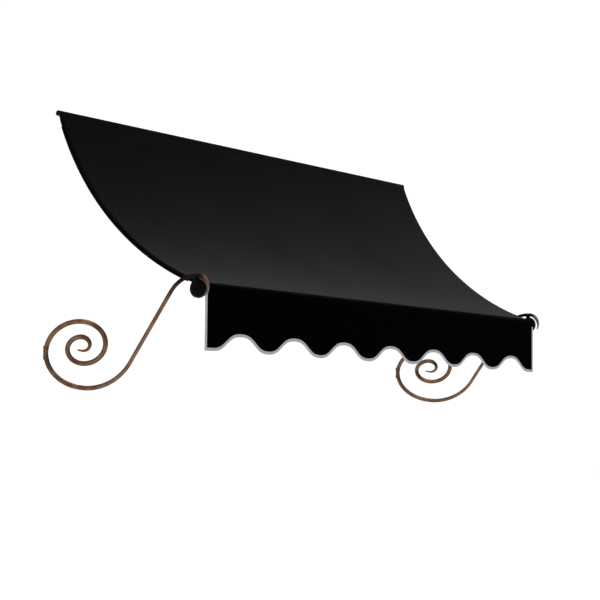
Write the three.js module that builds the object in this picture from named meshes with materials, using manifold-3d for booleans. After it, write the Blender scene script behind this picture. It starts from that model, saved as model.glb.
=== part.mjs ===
// Fixed fabric awning on a steel frame, held off the wall by two forged scroll arms. Millimetres, +Z up.
// X runs along the width, +Y points into the wall, and the wall's face is the plane y = 0.
// The origin is the centre of the middle head bracket's back face.
import * as THREE from 'three';
import { mergeVertices } from 'three/addons/utils/BufferGeometryUtils.js';
import Module from 'manifold-3d';

const wasm = await Module();
wasm.setup();

// ---------- driving dimensions ----------
const WIDTH = 2134;              // cover, edge to edge: a 7 ft awning
const GAP = 0.3;                 // air left between two pieces that touch
const CLOTH = 1.5;               // thickness given to each layer of cloth
const SWEEP_RADIUS = 932;        // middle of the cover's hollow sweep, seen from the side

const HEAD = { y: -29.5, z: 28, radius: 8, wall: 1.5 };        // tube in the top pocket
const BAR = { y: -614, z: -560, radius: 19.05, wall: 1.8 };    // tube in the front pocket

const VALANCE_BOTTOM = -748.5;   // lowest points of the scallops
const SCALLOP = { count: 7, depth: 48, endFlat: 35, flatten: 0.16, steps: 12 };
const SCALLOP_PITCH = (WIDTH - 2 * SCALLOP.endFlat) / SCALLOP.count;
const BINDING = { width: 9, layer: 0.6, top: BAR.z - 9 };
const VALANCE_LAP = THREE.MathUtils.degToRad(5);   // between the valance's top edge and the cover's line

const RIB = { radius: 5.5, clearance: 0.35, gap: 0.6, inset: 8, sides: 8 };
const RIB_XS = { left: -(WIDTH / 2 - RIB.inset), middle_left: -WIDTH / 6, middle_right: WIDTH / 6,
  right: WIDTH / 2 - RIB.inset };
// a rib leaves the sweep this far from the tube, bends by crank and stops short of the tube's axis
const RIB_ENDS = {
  head: { side: -1, lead: 45, crank: THREE.MathUtils.degToRad(8), inside: 4 },
  foot: { side: 1, lead: 60, crank: THREE.MathUtils.degToRad(28), inside: 6 },
};
const RIB_STRAIGHT = 3;          // straight stretch outside the tube

const BRACKET = {
  x: 977, wide: 50, high: 76, plate: 4,
  cradle: 24, cradleWall: 3.2, screwX: 16, screwZ: -24,
};
const CRADLE = { back: THREE.MathUtils.degToRad(40), front: THREE.MathUtils.degToRad(-157) };
const NOTCH = { wide: 30, margin: 0.6 };                       // cut in the top pocket at each bracket

const ARM = { x: WIDTH / 2 + 11, radius: 7.9, sides: 8 };      // forged round bar
const STRUT = { radius: 6.3, until: 460, over: 260 };  // drawn thinner from the hook down to the scroll
const SCROLL = { y: -158, z: -729.9, radius: 127.9, rear: 1.48, front: 1.36, shrink: 1.58 };
const CURL = { from: 450, to: 600, tighten: 0.52, ease: 1.3, lead: 14 };   // the small hook inside the scroll
const TIP = { y: SCROLL.y + 17.6, z: SCROLL.z - 8.3 };
const ARM_ANGLE = THREE.MathUtils.degToRad(53.8);              // of the straight stretch, above level
const BEND_RADIUS = 116;
const HOOK = { y: BAR.y, z: BAR.z, radius: 40, end: THREE.MathUtils.degToRad(205) };
const TAPER = { tip: 0.24, tipRun: 110, hook: 0.3, hookRun: 70 };
const PAD = { y: -3.5, z: -744.7, wide: 13, high: 44, screwZ: 13, seat: -11.5, spotFace: 5.6 };

const KNOB = { radius: 29.5, inner: WIDTH / 2 + 1.4, rim: 9, spigot: 42, edge: 1 };
const KNOB_DOME = [[0, 0], [4, 3], [7.2, 9], [9, 18]];         // past the rim, and inwards
const SADDLE = { y: BAR.y + 4, half: 6, top: BAR.z + HOOK.radius - STRUT.radius - GAP };
const ARM_BOLT = { radius: 3, hole: 3.3, head: 5.6, headHigh: 4, spotFace: 6.3, seat: BAR.z - 24, reach: 3.5 };

const WALL_SCREW = { radius: 2.4, hole: 2.8, head: 4.8, headHigh: 3, beyond: 8, point: 5 };
const ROD_SCREW = { radius: 2.4, hole: 2.8, head: 4.5, headHigh: 2.6, reach: 8 };

// ---------- materials ----------
const paint = (color, roughness, metalness) => (
  new THREE.MeshStandardMaterial({ color, roughness, metalness })
);
const blackCloth = paint(0x141416, 0.9, 0);
const greyTape = paint(0xa9a9ac, 0.85, 0);
const blackPaint = paint(0x1a1a1c, 0.45, 0.6);
const bronzePaint = paint(0x5a4030, 0.4, 0.7);
const zinc = paint(0xb4b7ba, 0.35, 1);
const blackPlastic = paint(0x111112, 0.5, 0);

// ---------- geometry helpers ----------
const point = (y, z) => new THREE.Vector3(0, y, z);

/** A curve made of other curves end to end, each cut into its own number of equal steps. */
class JoinedCurve extends THREE.Curve {
  constructor(parts) {
    super();
    this.parts = parts;
    this.steps = parts.reduce((sum, part) => sum + part.steps, 0);
  }

  getPoint(t) {
    let place = THREE.MathUtils.clamp(t, 0, 1) * this.steps;
    for (const { curve, steps } of this.parts) {
      if (place <= steps) return curve(place / steps);
      place -= steps;
    }
    const last = this.parts[this.parts.length - 1];
    return last.curve(1);
  }

  getUtoTmapping(u) {
    return u;
  }
}

const straight = (from, to) => (t) => from.clone().lerp(to, t);
const arc = (cy, cz, radius, from, to) => (t) => {
  const angle = from + (to - from) * t;
  return point(cy + radius * Math.cos(angle), cz + radius * Math.sin(angle));
};
const quadratic = (a, b, c) => (t) => new THREE.QuadraticBezierCurve3(a, b, c).getPoint(t);

/** A round bar along a curve in the plane x = 0. radiusAt gives its radius at a distance from each end. */
function roundBar(curve, sides, radiusAt) {
  const circle = new THREE.Shape();
  circle.absarc(0, 0, 1, 0, 2 * Math.PI);
  // a full circle is cut into twice its curveSegments
  const curveSegments = sides / 2;
  const bar = new THREE.ExtrudeGeometry(circle, { steps: curve.steps, curveSegments, extrudePath: curve });
  const centres = curve.getSpacedPoints(curve.steps);
  const run = [0];
  centres.slice(1).forEach((centre, i) => run.push(run[i] + centre.distanceTo(centres[i])));
  const total = run[run.length - 1];
  const corners = bar.getAttribute('position');
  const corner = new THREE.Vector3();
  for (let i = 0; i < corners.count; i += 1) {
    corner.fromBufferAttribute(corners, i);
    let near = 0;
    centres.forEach((centre, k) => {
      if (centre.distanceToSquared(corner) < centres[near].distanceToSquared(corner)) near = k;
    });
    corner.sub(centres[near]).multiplyScalar(radiusAt(run[near], total - run[near])).add(centres[near]);
    corners.setXYZ(i, corner.x, corner.y, corner.z);
  }
  return bar;
}

/** A shape drawn in Y and Z, given its length along X, centred on x = 0. */
function alongX(shape, length, curveSegments) {
  const body = new THREE.ExtrudeGeometry(shape, { depth: length, bevelEnabled: false, curveSegments });
  body.translate(0, 0, -length / 2);
  const turn = new THREE.Matrix4().makeBasis(new THREE.Vector3(0, 1, 0), new THREE.Vector3(0, 0, 1),
    new THREE.Vector3(1, 0, 0));
  return body.applyMatrix4(turn);
}

/** A shape drawn in X and Z, filling the stretch between two values of y. */
function alongY(shape, yLow, yHigh) {
  const body = new THREE.ExtrudeGeometry(shape, { depth: yHigh - yLow, bevelEnabled: false });
  return body.rotateX(Math.PI / 2).translate(0, yHigh, 0);
}

function block(x0, x1, y0, y1, z0, z1) {
  const box = new THREE.BoxGeometry(x1 - x0, y1 - y0, z1 - z0);
  return box.translate((x0 + x1) / 2, (y0 + y1) / 2, (z0 + z1) / 2);
}

function rod(radius, from, to, segments = 12) {
  const length = from.distanceTo(to);
  const body = new THREE.CylinderGeometry(radius, radius, length, segments);
  const along = to.clone().sub(from).normalize();
  const turn = new THREE.Quaternion().setFromUnitVectors(new THREE.Vector3(0, 1, 0), along);
  return body.applyQuaternion(turn).translate(...from.clone().lerp(to, 0.5).toArray());
}

function ring(at, inner, outer) {
  const shape = new THREE.Shape();
  shape.absarc(at.y, at.z, outer, 0, 2 * Math.PI);
  const hole = new THREE.Path();
  hole.absarc(at.y, at.z, inner, 0, 2 * Math.PI, true);
  shape.holes.push(hole);
  return shape;
}

function solid(geometry) {
  const bare = geometry.index ? geometry.toNonIndexed() : geometry.clone();
  bare.deleteAttribute('normal');
  bare.deleteAttribute('uv');
  const merged = mergeVertices(bare, 1e-4);
  return new wasm.Manifold(new wasm.Mesh({
    numProp: 3,
    vertProperties: new Float32Array(merged.getAttribute('position').array),
    triVerts: new Uint32Array(merged.index.array),
  }));
}

function geometryOf(body) {
  const mesh = body.getMesh();
  const geometry = new THREE.BufferGeometry();
  geometry.setAttribute('position', new THREE.BufferAttribute(new Float32Array(mesh.vertProperties), 3));
  geometry.setIndex(new THREE.BufferAttribute(new Uint32Array(mesh.triVerts), 1));
  return geometry;
}

const join = (...shapes) => shapes.map(solid).reduce((sum, next) => sum.add(next));
const cut = (body, ...tools) => tools.map(solid).reduce((rest, tool) => rest.subtract(tool), body);

// ---------- the sweep of the cover ----------
// The cover lies on both tubes, so the sweep's centre is a known distance from each of them.
const HEAD_REACH = SWEEP_RADIUS + HEAD.radius + GAP + CLOTH / 2;
const BAR_REACH = SWEEP_RADIUS + BAR.radius + GAP + CLOTH / 2;

function sweepCentre() {
  const across = new THREE.Vector2(BAR.y - HEAD.y, BAR.z - HEAD.z);
  const length = across.length();
  const along = (HEAD_REACH ** 2 - BAR_REACH ** 2 + length ** 2) / (2 * length);
  const off = Math.sqrt(HEAD_REACH ** 2 - along ** 2);
  const unit = across.divideScalar(length);
  return { y: HEAD.y + unit.x * along + unit.y * off, z: HEAD.z + unit.y * along - unit.x * off };
}

const SWEEP = sweepCentre();
const HEAD_TURN = Math.atan2(HEAD.z - SWEEP.z, HEAD.y - SWEEP.y);
const BAR_TURN = Math.atan2(BAR.z - SWEEP.z, BAR.y - SWEEP.y);

// ---------- ribs ----------
/** The bent end of a rib: off the sweep, then straight at the tube's axis. */
function ribEnd(tube, tubeTurn, { side, lead, crank, inside }) {
  const radius = SWEEP_RADIUS + CLOTH / 2 + RIB.gap + RIB.radius;
  const turn = tubeTurn + (side * lead) / radius;
  const leave = arc(SWEEP.y, SWEEP.z, radius, turn, turn)(0);
  const heading = turn - side * (Math.PI / 2 - crank);
  const toTube = point(Math.cos(heading), Math.sin(heading));
  const axis = point(tube.y, tube.z);
  const onward = point(Math.cos(turn - side * Math.PI / 2), Math.sin(turn - side * Math.PI / 2));
  // the corner is where the sweep's tangent meets the line through the tube's axis
  const across = onward.y * toTube.z - onward.z * toTube.y;
  const reach = ((axis.y - leave.y) * toTube.z - (axis.z - leave.z) * toTube.y) / across;
  const corner = leave.clone().addScaledVector(onward, reach);
  const outside = axis.clone().addScaledVector(toTube, -(tube.radius + RIB_STRAIGHT));
  const end = axis.clone().addScaledVector(toTube, -inside);
  return { turn, leave, corner, outside, end, radius };
}

const RIB_HEAD = ribEnd(HEAD, HEAD_TURN, RIB_ENDS.head);
const RIB_FOOT = ribEnd(BAR, BAR_TURN, RIB_ENDS.foot);

const RIB_PATH = new JoinedCurve([
  { steps: 1, curve: straight(RIB_HEAD.end, RIB_HEAD.outside) },
  { steps: 4, curve: quadratic(RIB_HEAD.outside, RIB_HEAD.corner, RIB_HEAD.leave) },
  { steps: 16, curve: arc(SWEEP.y, SWEEP.z, RIB_HEAD.radius, RIB_HEAD.turn, RIB_FOOT.turn) },
  { steps: 4, curve: quadratic(RIB_FOOT.leave, RIB_FOOT.corner, RIB_FOOT.outside) },
  { steps: 1, curve: straight(RIB_FOOT.outside, RIB_FOOT.end) },
]);

const ribBar = roundBar(RIB_PATH, RIB.sides, () => RIB.radius);
const ribTools = Object.values(RIB_XS).map((x) => (
  roundBar(RIB_PATH, RIB.sides, () => RIB.radius + RIB.clearance).translate(x, 0, 0)
));

// ---------- tubes and their ends ----------
const rodScrewXs = [-BRACKET.x, 0, BRACKET.x];
const rodScrewHoles = rodScrewXs.map((x) => (
  rod(ROD_SCREW.hole, new THREE.Vector3(x, HEAD.y, HEAD.z - 20), new THREE.Vector3(x, HEAD.y, HEAD.z), 10)
));

function tube(at) {
  return alongX(ring(at, at.radius - at.wall, at.radius), WIDTH - 0.6, 16);
}

function headRod() {
  return cut(solid(tube(HEAD)), ...ribTools, ...rodScrewHoles);
}

function frontBar() {
  return cut(solid(tube(BAR)), ...ribTools);
}

/** A turned piece with its axis along X, pointing outwards on the given side. */
function turned(profile, at, side, segments) {
  const outline = profile.map(([x, r]) => new THREE.Vector2(r, x));
  const body = new THREE.LatheGeometry(outline, segments);
  return body.rotateZ(-side * Math.PI / 2).translate(0, at.y, at.z);
}

function rodPlug(side) {
  const inner = WIDTH / 2;
  const fit = HEAD.radius - HEAD.wall - GAP;
  const profile = [[inner - 20, 0], [inner - 20, fit], [inner, fit], [inner, HEAD.radius],
    [inner + 0.8, HEAD.radius], [inner + 1.5, HEAD.radius - 1.5], [inner + 1.5, 0]];
  return cut(solid(turned(profile, HEAD, side, 20)), ...ribTools);
}

function barKnob(side) {
  const fit = BAR.radius - BAR.wall - GAP;
  const { inner, radius, rim, spigot, edge } = KNOB;
  const tubeEnd = WIDTH / 2;
  const dome = KNOB_DOME.map(([out, inwards]) => [inner + rim + out, radius - inwards]);
  const profile = [[tubeEnd - spigot, 0], [tubeEnd - spigot, fit], [tubeEnd, fit], [tubeEnd, BAR.radius],
    [inner, BAR.radius], [inner, radius - edge], [inner + edge, radius], ...dome,
    [dome[dome.length - 1][0], 0]];
  const x = side * ARM.x;
  const saddle = block(x - SADDLE.half, x + SADDLE.half, SADDLE.y - SADDLE.half, SADDLE.y + SADDLE.half,
    BAR.z, SADDLE.top);
  const boltHole = rod(ARM_BOLT.hole, new THREE.Vector3(x, SADDLE.y, BAR.z - KNOB.radius - 10),
    new THREE.Vector3(x, SADDLE.y, SADDLE.top + 10));
  const spotFace = rod(ARM_BOLT.spotFace, new THREE.Vector3(x, SADDLE.y, BAR.z - KNOB.radius - 10),
    new THREE.Vector3(x, SADDLE.y, ARM_BOLT.seat));
  return cut(join(turned(profile, BAR, side, 24), saddle), boltHole, spotFace, ...ribTools);
}

// ---------- cover, valance and binding ----------
/** One sheet: the hollow sweep, a pocket round the head rod and a pocket round the front bar. */
function cover() {
  const lap = 0.004;
  const sheet = new THREE.Shape();
  const from = HEAD_TURN - lap;
  const to = BAR_TURN + lap;
  const falls = HEAD_TURN > BAR_TURN;
  sheet.absarc(SWEEP.y, SWEEP.z, SWEEP_RADIUS + CLOTH / 2, from, to, falls);
  sheet.absarc(SWEEP.y, SWEEP.z, SWEEP_RADIUS - CLOTH / 2, to, from, !falls);
  const pockets = [HEAD, BAR].map((at) => (
    alongX(ring(at, at.radius + GAP, at.radius + GAP + CLOTH), WIDTH, 16)
  ));
  const notches = rodScrewXs.map((x) => cradleShape(NOTCH.wide, NOTCH.margin).translate(x, 0, 0));
  return cut(join(alongX(sheet, WIDTH, 14), ...pockets), ...notches, ...ribTools);
}

/** The height of the scalloped edge, which has a scallop in the middle and lies flat at both ends. */
const wave = (x) => {
  const phase = 2 * Math.PI * Math.min(Math.abs(x) / SCALLOP_PITCH, SCALLOP.count / 2);
  const rise = (1 + Math.cos(phase - SCALLOP.flatten * Math.sin(2 * phase))) / 2;
  return VALANCE_BOTTOM + GAP + BINDING.layer + SCALLOP.depth * rise;
};

/** The scalloped edge moved outwards by a distance, from left to right, with its upright ends. */
function edgeLine(outwards) {
  const reach = WIDTH / 2 - SCALLOP.endFlat;
  const steps = SCALLOP.count * SCALLOP.steps;
  const xs = Array.from({ length: steps + 1 }, (_, i) => reach * ((2 * i) / steps - 1));
  const scallops = xs.map((x) => {
    const tilt = Math.atan(wave(x + 0.5) - wave(x - 0.5));
    return new THREE.Vector2(x + outwards * Math.sin(tilt), wave(x) - outwards * Math.cos(tilt));
  });
  const corner = (side) => new THREE.Vector2(side * (WIDTH / 2 + outwards), wave(WIDTH / 2) - outwards);
  return [corner(-1), ...scallops, corner(1)];
}

const valanceFace = BAR.y - (BAR.radius + 2 * GAP + 2 * CLOTH);

function valance() {
  const inner = BAR.radius + 2 * GAP + CLOTH;
  const start = BAR_TURN + Math.PI + VALANCE_LAP;
  const strip = new THREE.Shape();
  strip.absarc(BAR.y, BAR.z, inner + CLOTH, start, Math.PI);
  strip.lineTo(valanceFace, VALANCE_BOTTOM - 5);
  strip.lineTo(valanceFace + CLOTH, VALANCE_BOTTOM - 5);
  strip.absarc(BAR.y, BAR.z, inner, Math.PI, start, true);
  const low = VALANCE_BOTTOM - 40;
  const below = new THREE.Shape([new THREE.Vector2(-WIDTH, low), new THREE.Vector2(WIDTH, low),
    new THREE.Vector2(WIDTH, wave(WIDTH / 2)), ...edgeLine(0).reverse(),
    new THREE.Vector2(-WIDTH, wave(-WIDTH / 2))]);
  return cut(solid(alongX(strip, WIDTH, 4)), alongY(below, valanceFace - 10, valanceFace + 10));
}

/** The tape folded over the scallops and the two upright edges of the valance. */
function binding() {
  const upright = (line, z) => [new THREE.Vector2(line[0].x, z), ...line,
    new THREE.Vector2(line[line.length - 1].x, z)];
  const outer = upright(edgeLine(GAP + BINDING.layer), BINDING.top);
  const inner = upright(edgeLine(-BINDING.width), BINDING.top);
  const band = new THREE.Shape([...outer, ...inner.reverse()]);
  const slot = new THREE.Shape(upright(edgeLine(GAP), BINDING.top + 10));
  const reach = GAP + BINDING.layer;
  return cut(solid(alongY(band, valanceFace - reach, valanceFace + CLOTH + reach)),
    alongY(slot, valanceFace - GAP, valanceFace + CLOTH + GAP));
}

// ---------- head brackets ----------
/** The cradle under the head rod, with a margin all round for cutting cloth clear of it. */
function cradleShape(wide, margin) {
  const inner = HEAD.radius + GAP - margin;
  const outer = HEAD.radius + GAP + BRACKET.cradleWall + margin;
  const back = CRADLE.back + margin / inner;
  const front = CRADLE.front - margin / inner;
  const shape = new THREE.Shape();
  shape.absarc(HEAD.y, HEAD.z, outer, back, front, true);
  shape.absarc(HEAD.y, HEAD.z, inner, front, back);
  return alongX(shape, wide, 8);
}

function headBracket() {
  const { wide, high, plate, cradle, screwX, screwZ } = BRACKET;
  const wallPlate = block(-wide / 2, wide / 2, -plate, 0, -high / 2, high / 2);
  const web = block(-cradle / 2, cradle / 2, HEAD.y + HEAD.radius + 1.5, -plate + 1, HEAD.z - 12, HEAD.z + 8);
  const holes = [-screwX, screwX].map((x) => (
    rod(WALL_SCREW.hole, new THREE.Vector3(x, -20, screwZ), new THREE.Vector3(x, 10, screwZ))
  ));
  const rodHole = rod(ROD_SCREW.hole, new THREE.Vector3(0, HEAD.y, HEAD.z - 30), point(HEAD.y, HEAD.z), 10);
  const bed = rod(HEAD.radius + GAP, new THREE.Vector3(-wide, HEAD.y, HEAD.z),
    new THREE.Vector3(wide, HEAD.y, HEAD.z), 32);
  return cut(join(wallPlate, web, cradleShape(cradle, 0)), bed, ...holes, rodHole);
}

// ---------- scroll arms ----------
/** A point of the scroll, which is a wider oval on the wall's side and inside than in front and outside. */
const scrollAt = (degrees) => {
  const angle = THREE.MathUtils.degToRad(degrees);
  const curled = Math.max(0, (degrees - CURL.from) / 180) ** CURL.ease;
  const radius = SCROLL.radius * SCROLL.shrink ** (-(degrees + 90) / 180) * (1 - CURL.tighten * curled);
  const stretch = degrees < -90 ? SCROLL.front : SCROLL.rear;
  return point(SCROLL.y + stretch * radius * Math.cos(angle), SCROLL.z + radius * Math.sin(angle));
};

/** Where the scroll, followed outwards, has turned up to the slope of the straight stretch. */
function scrollEnd() {
  const decay = Math.log(SCROLL.shrink) / Math.PI;
  const slope = Math.tan(ARM_ANGLE) * SCROLL.front;
  return -90 - THREE.MathUtils.radToDeg(Math.atan((slope + decay) / (1 - slope * decay)));
}

function armPath() {
  const endAngle = scrollEnd();
  const leave = scrollAt(endAngle);
  const up = point(-Math.cos(ARM_ANGLE), Math.sin(ARM_ANGLE));
  const crownZ = HOOK.z + HOOK.radius;
  const corner = leave.clone().addScaledVector(up, (crownZ - leave.z) / up.z);
  const tangent = BEND_RADIUS * Math.tan(ARM_ANGLE / 2);
  const bendStart = corner.clone().addScaledVector(up, -tangent);
  const bendCentre = { y: corner.y - tangent, z: crownZ - BEND_RADIUS };
  const crownStart = point(bendCentre.y, crownZ);
  const curl = scrollAt(CURL.to);
  const curlAim = curl.clone().sub(scrollAt(CURL.to - 2)).normalize();
  const beyondCurl = curl.clone().addScaledVector(curlAim, CURL.lead);
  return new JoinedCurve([
    { steps: 3, curve: quadratic(point(TIP.y, TIP.z), beyondCurl, curl) },
    { steps: 50, curve: (t) => scrollAt(CURL.to + (endAngle - CURL.to) * t) },
    { steps: 1, curve: straight(leave, bendStart) },
    { steps: 6, curve: arc(bendCentre.y, bendCentre.z, BEND_RADIUS, Math.PI / 2 - ARM_ANGLE, Math.PI / 2) },
    { steps: 1, curve: straight(crownStart, point(HOOK.y, crownZ)) },
    { steps: 8, curve: arc(HOOK.y, HOOK.z, HOOK.radius, Math.PI / 2, HOOK.end) },
  ]);
}

/**
 * The bar's radius: slim in the strut, drawn to a thin tip inside the scroll and to a blunt point at
 * the hook.
 */
function armRadius(fromTip, fromHook) {
  const tip = TAPER.tip + fromTip / TAPER.tipRun;
  const hook = TAPER.hook + fromHook / TAPER.hookRun;
  const thick = THREE.MathUtils.clamp((fromHook - STRUT.until) / STRUT.over, 0, 1);
  return THREE.MathUtils.lerp(STRUT.radius, ARM.radius, thick) * Math.min(1, tip, hook);
}

function scrollArm() {
  const pad = block(-PAD.wide / 2, PAD.wide / 2, PAD.y, 0, PAD.z - PAD.high / 2, PAD.z + PAD.high / 2);
  const wallHoles = [-PAD.screwZ, PAD.screwZ].flatMap((dz) => [
    rod(WALL_SCREW.hole, point(-40, PAD.z + dz), point(10, PAD.z + dz)),
    rod(PAD.spotFace, point(-40, PAD.z + dz), point(PAD.seat, PAD.z + dz)),
  ]);
  const boltHole = rod(ARM_BOLT.hole, point(SADDLE.y, SADDLE.top - 10),
    point(SADDLE.y, HOOK.z + HOOK.radius + ARM_BOLT.reach + GAP));
  const behindWall = block(-30, 30, 0, 30, PAD.z - 100, PAD.z + 100);
  return cut(join(roundBar(armPath(), ARM.sides, armRadius), pad), behindWall, ...wallHoles, boltHole);
}

// ---------- fasteners ----------
/** A pan-head screw along +Y, the underside of its head at y = 0 and its point at y = length. */
function wallScrew(length) {
  const { radius, head, headHigh, point: taper } = WALL_SCREW;
  const profile = [[-headHigh, 0], [-headHigh, head - 1.8], [-headHigh + 1.1, head - 0.4], [0, head],
    [0, radius], [length - taper, radius], [length, 0]];
  return new THREE.LatheGeometry(profile.map(([y, r]) => new THREE.Vector2(r, y)), 10);
}

/** A pan-head screw along +Z, the underside of its head at z = 0. */
function rodScrew(length) {
  const { radius, head, headHigh } = ROD_SCREW;
  const profile = [[-headHigh, 0], [-headHigh, head - 1.6], [-headHigh + 1, head - 0.3], [0, head],
    [0, radius], [length, radius], [length, 0]];
  return new THREE.LatheGeometry(profile.map(([y, r]) => new THREE.Vector2(r, y)), 10).rotateX(Math.PI / 2);
}

/** A hex bolt along +Z, the underside of its head at z = 0. */
function armBolt(length) {
  const hex = rod(ARM_BOLT.head, point(0, -ARM_BOLT.headHigh), point(0, 0), 6);
  return join(hex, rod(ARM_BOLT.radius, point(0, -1), point(0, length)));
}

// ---------- assembly ----------
const awning = new THREE.Group();
awning.name = 'fabric_awning';

function add(name, shape, material, position = [0, 0, 0]) {
  const geometry = shape.isBufferGeometry ? geometryOf(solid(shape)) : geometryOf(shape);
  const mesh = new THREE.Mesh(geometry, material);
  mesh.name = name;
  mesh.position.set(...position);
  awning.add(mesh);
}

add('canopy_cover', cover(), blackCloth);
add('valance', valance(), blackCloth);
add('valance_binding', binding(), greyTape);
add('head_rod', headRod(), blackPaint);
add('front_bar', frontBar(), blackPaint);
Object.entries(RIB_XS).forEach(([place, x]) => add(`rib_${place}`, ribBar, blackPaint, [x, 0, 0]));

const bracket = headBracket();
const bracketScrew = wallScrew(BRACKET.plate + WALL_SCREW.beyond);
const rodHold = rodScrew(ROD_SCREW.reach);
const rodScrewSeat = HEAD.z - (HEAD.radius + GAP + BRACKET.cradleWall) - GAP;
[['left', -BRACKET.x], ['middle', 0], ['right', BRACKET.x]].forEach(([place, x]) => {
  add(`head_bracket_${place}`, bracket, blackPaint, [x, 0, 0]);
  [['a', -1], ['b', 1]].forEach(([letter, side]) => {
    add(`bracket_screw_${place}_${letter}`, bracketScrew, zinc,
      [x + side * BRACKET.screwX, -BRACKET.plate - GAP, BRACKET.screwZ]);
  });
  add(`rod_screw_${place}`, rodHold, zinc, [x, HEAD.y, rodScrewSeat]);
});

const arm = scrollArm();
const armScrew = wallScrew(-PAD.seat + WALL_SCREW.beyond);
const boltLength = HOOK.z + HOOK.radius + ARM_BOLT.reach - ARM_BOLT.seat;
[['left', -1], ['right', 1]].forEach(([place, side]) => {
  const x = side * ARM.x;
  add(`head_rod_plug_${place}`, rodPlug(side), blackPlastic);
  add(`bar_knob_${place}`, barKnob(side), blackPaint);
  add(`scroll_arm_${place}`, arm, bronzePaint, [x, 0, 0]);
  add(`arm_bolt_${place}`, armBolt(boltLength), zinc, [x, SADDLE.y, ARM_BOLT.seat - GAP]);
  [['lower', -1], ['upper', 1]].forEach(([height, way]) => {
    add(`arm_screw_${place}_${height}`, armScrew, zinc, [x, PAD.seat - GAP, PAD.z + way * PAD.screwZ]);
  });
});

export default awning;
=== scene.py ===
"""Fixed fabric awning: cloth on a painted steel frame, held off the wall by two forged scroll arms.

Every size is in millimetres, in the part's own frame: X along the width, +Y into the wall, +Z up, with the
origin at the back of the middle head bracket. make_mesh turns millimetres into the scene's metres.
"""

import logging
import math
from dataclasses import dataclass, field
from enum import Enum

import bmesh
import bpy
import numpy as np
from mathutils import Matrix, Vector


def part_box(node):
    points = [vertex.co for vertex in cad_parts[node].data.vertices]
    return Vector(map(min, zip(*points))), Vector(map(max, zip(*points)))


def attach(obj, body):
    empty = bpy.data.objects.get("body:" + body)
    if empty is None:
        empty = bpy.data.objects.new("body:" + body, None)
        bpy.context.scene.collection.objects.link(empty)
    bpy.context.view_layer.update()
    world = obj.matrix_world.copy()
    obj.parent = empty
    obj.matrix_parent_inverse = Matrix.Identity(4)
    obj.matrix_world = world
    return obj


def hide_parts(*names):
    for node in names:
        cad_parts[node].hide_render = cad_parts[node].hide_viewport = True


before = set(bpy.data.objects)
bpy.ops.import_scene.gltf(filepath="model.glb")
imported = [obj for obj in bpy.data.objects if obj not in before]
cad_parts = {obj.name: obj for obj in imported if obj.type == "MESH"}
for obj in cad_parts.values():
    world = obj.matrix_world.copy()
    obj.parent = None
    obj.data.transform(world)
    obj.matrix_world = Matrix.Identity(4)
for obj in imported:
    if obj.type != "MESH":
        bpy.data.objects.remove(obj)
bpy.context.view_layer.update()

MM = 0.001
BODY = "root"
UV_NAME = "cut"

log = logging.getLogger("awning")


class Side(Enum):
    """The two ends of the awning, and the sign of X at each."""

    LEFT = -1
    RIGHT = 1

    @property
    def word(self) -> str:
        """The side's name as it is used in the names of pieces."""
        return self.name.lower()


class Slot(Enum):
    """The record's material slots."""

    CLOTH = "awning_cloth"
    TAPE = "binding_tape"
    FRAME_PAINT = "frame_paint"
    KNOB_PAINT = "knob_paint"
    BRONZE = "bronze_paint"
    ZINC = "zinc_screw"
    PLASTIC = "black_plastic"


# ---------------------------------------------------------------- small helpers


def linear(hex_colour: str) -> tuple[float, float, float, float]:
    """Turns an sRGB hex colour into linear RGBA.

    Args:
        hex_colour: A colour such as "#5a4030".

    Returns:
        The linear red, green and blue, and an alpha of 1.
    """
    channels = [int(hex_colour[i:i + 2], 16) / 255 for i in (1, 3, 5)]
    red, green, blue = (c / 12.92 if c <= 0.04045 else ((c + 0.055) / 1.055) ** 2.4 for c in channels)
    return red, green, blue, 1.0


def add_node(tree: bpy.types.NodeTree, kind: str, settings: dict | None = None,
             inputs: dict | None = None) -> bpy.types.Node:
    """Adds a node to a tree, with its settings, values and links.

    Args:
        tree: The node tree that the node goes into.
        kind: The node's type, such as "ShaderNodeTexNoise".
        settings: Properties of the node by name.
        inputs: A value, or another node's output to link, for inputs by name or number.

    Returns:
        The new node.
    """
    node = tree.nodes.new(kind)
    for name, value in (settings or {}).items():
        setattr(node, name, value)
    for name, value in (inputs or {}).items():
        if isinstance(value, bpy.types.NodeSocket):
            tree.links.new(value, node.inputs[name])
        else:
            node.inputs[name].default_value = value
    return node


def node_box(node: str) -> tuple[np.ndarray, np.ndarray]:
    """Returns the lowest and highest corner of a CAD node, in millimetres."""
    low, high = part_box(node)
    return np.array(low) / MM, np.array(high) / MM


def make_mesh(name: str, corners: np.ndarray, faces: list, uv: np.ndarray | None = None,
              smooth_angle: float = 35.0, outward: bool = True) -> bpy.types.Object:
    """Makes a mesh object in the scene.

    Args:
        name: The object's name.
        corners: An array of corners, in millimetres.
        faces: Lists of corner numbers.
        uv: The place of each corner on the flat cut, in metres, or None.
        smooth_angle: Edges sharper than this many degrees stay crisp.
        outward: Whether the faces are turned to point out of the closed shape.

    Returns:
        The new object.
    """
    mesh = bpy.data.meshes.new(name)
    mesh.from_pydata((np.asarray(corners, float) * MM).tolist(), [], faces)
    if uv is not None:
        layer = mesh.uv_layers.new(name=UV_NAME)
        corner_of_loop = np.zeros(len(mesh.loops), dtype=np.int32)
        mesh.loops.foreach_get("vertex_index", corner_of_loop)
        layer.data.foreach_set("uv", np.asarray(uv, float)[corner_of_loop].ravel())
    if outward:
        shape = bmesh.new()
        shape.from_mesh(mesh)
        bmesh.ops.recalc_face_normals(shape, faces=shape.faces)
        shape.to_mesh(mesh)
        shape.free()
    mesh.shade_smooth()
    mesh.set_sharp_from_angle(angle=math.radians(smooth_angle))
    piece = bpy.data.objects.new(name, mesh)
    bpy.context.scene.collection.objects.link(piece)
    return piece


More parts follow.
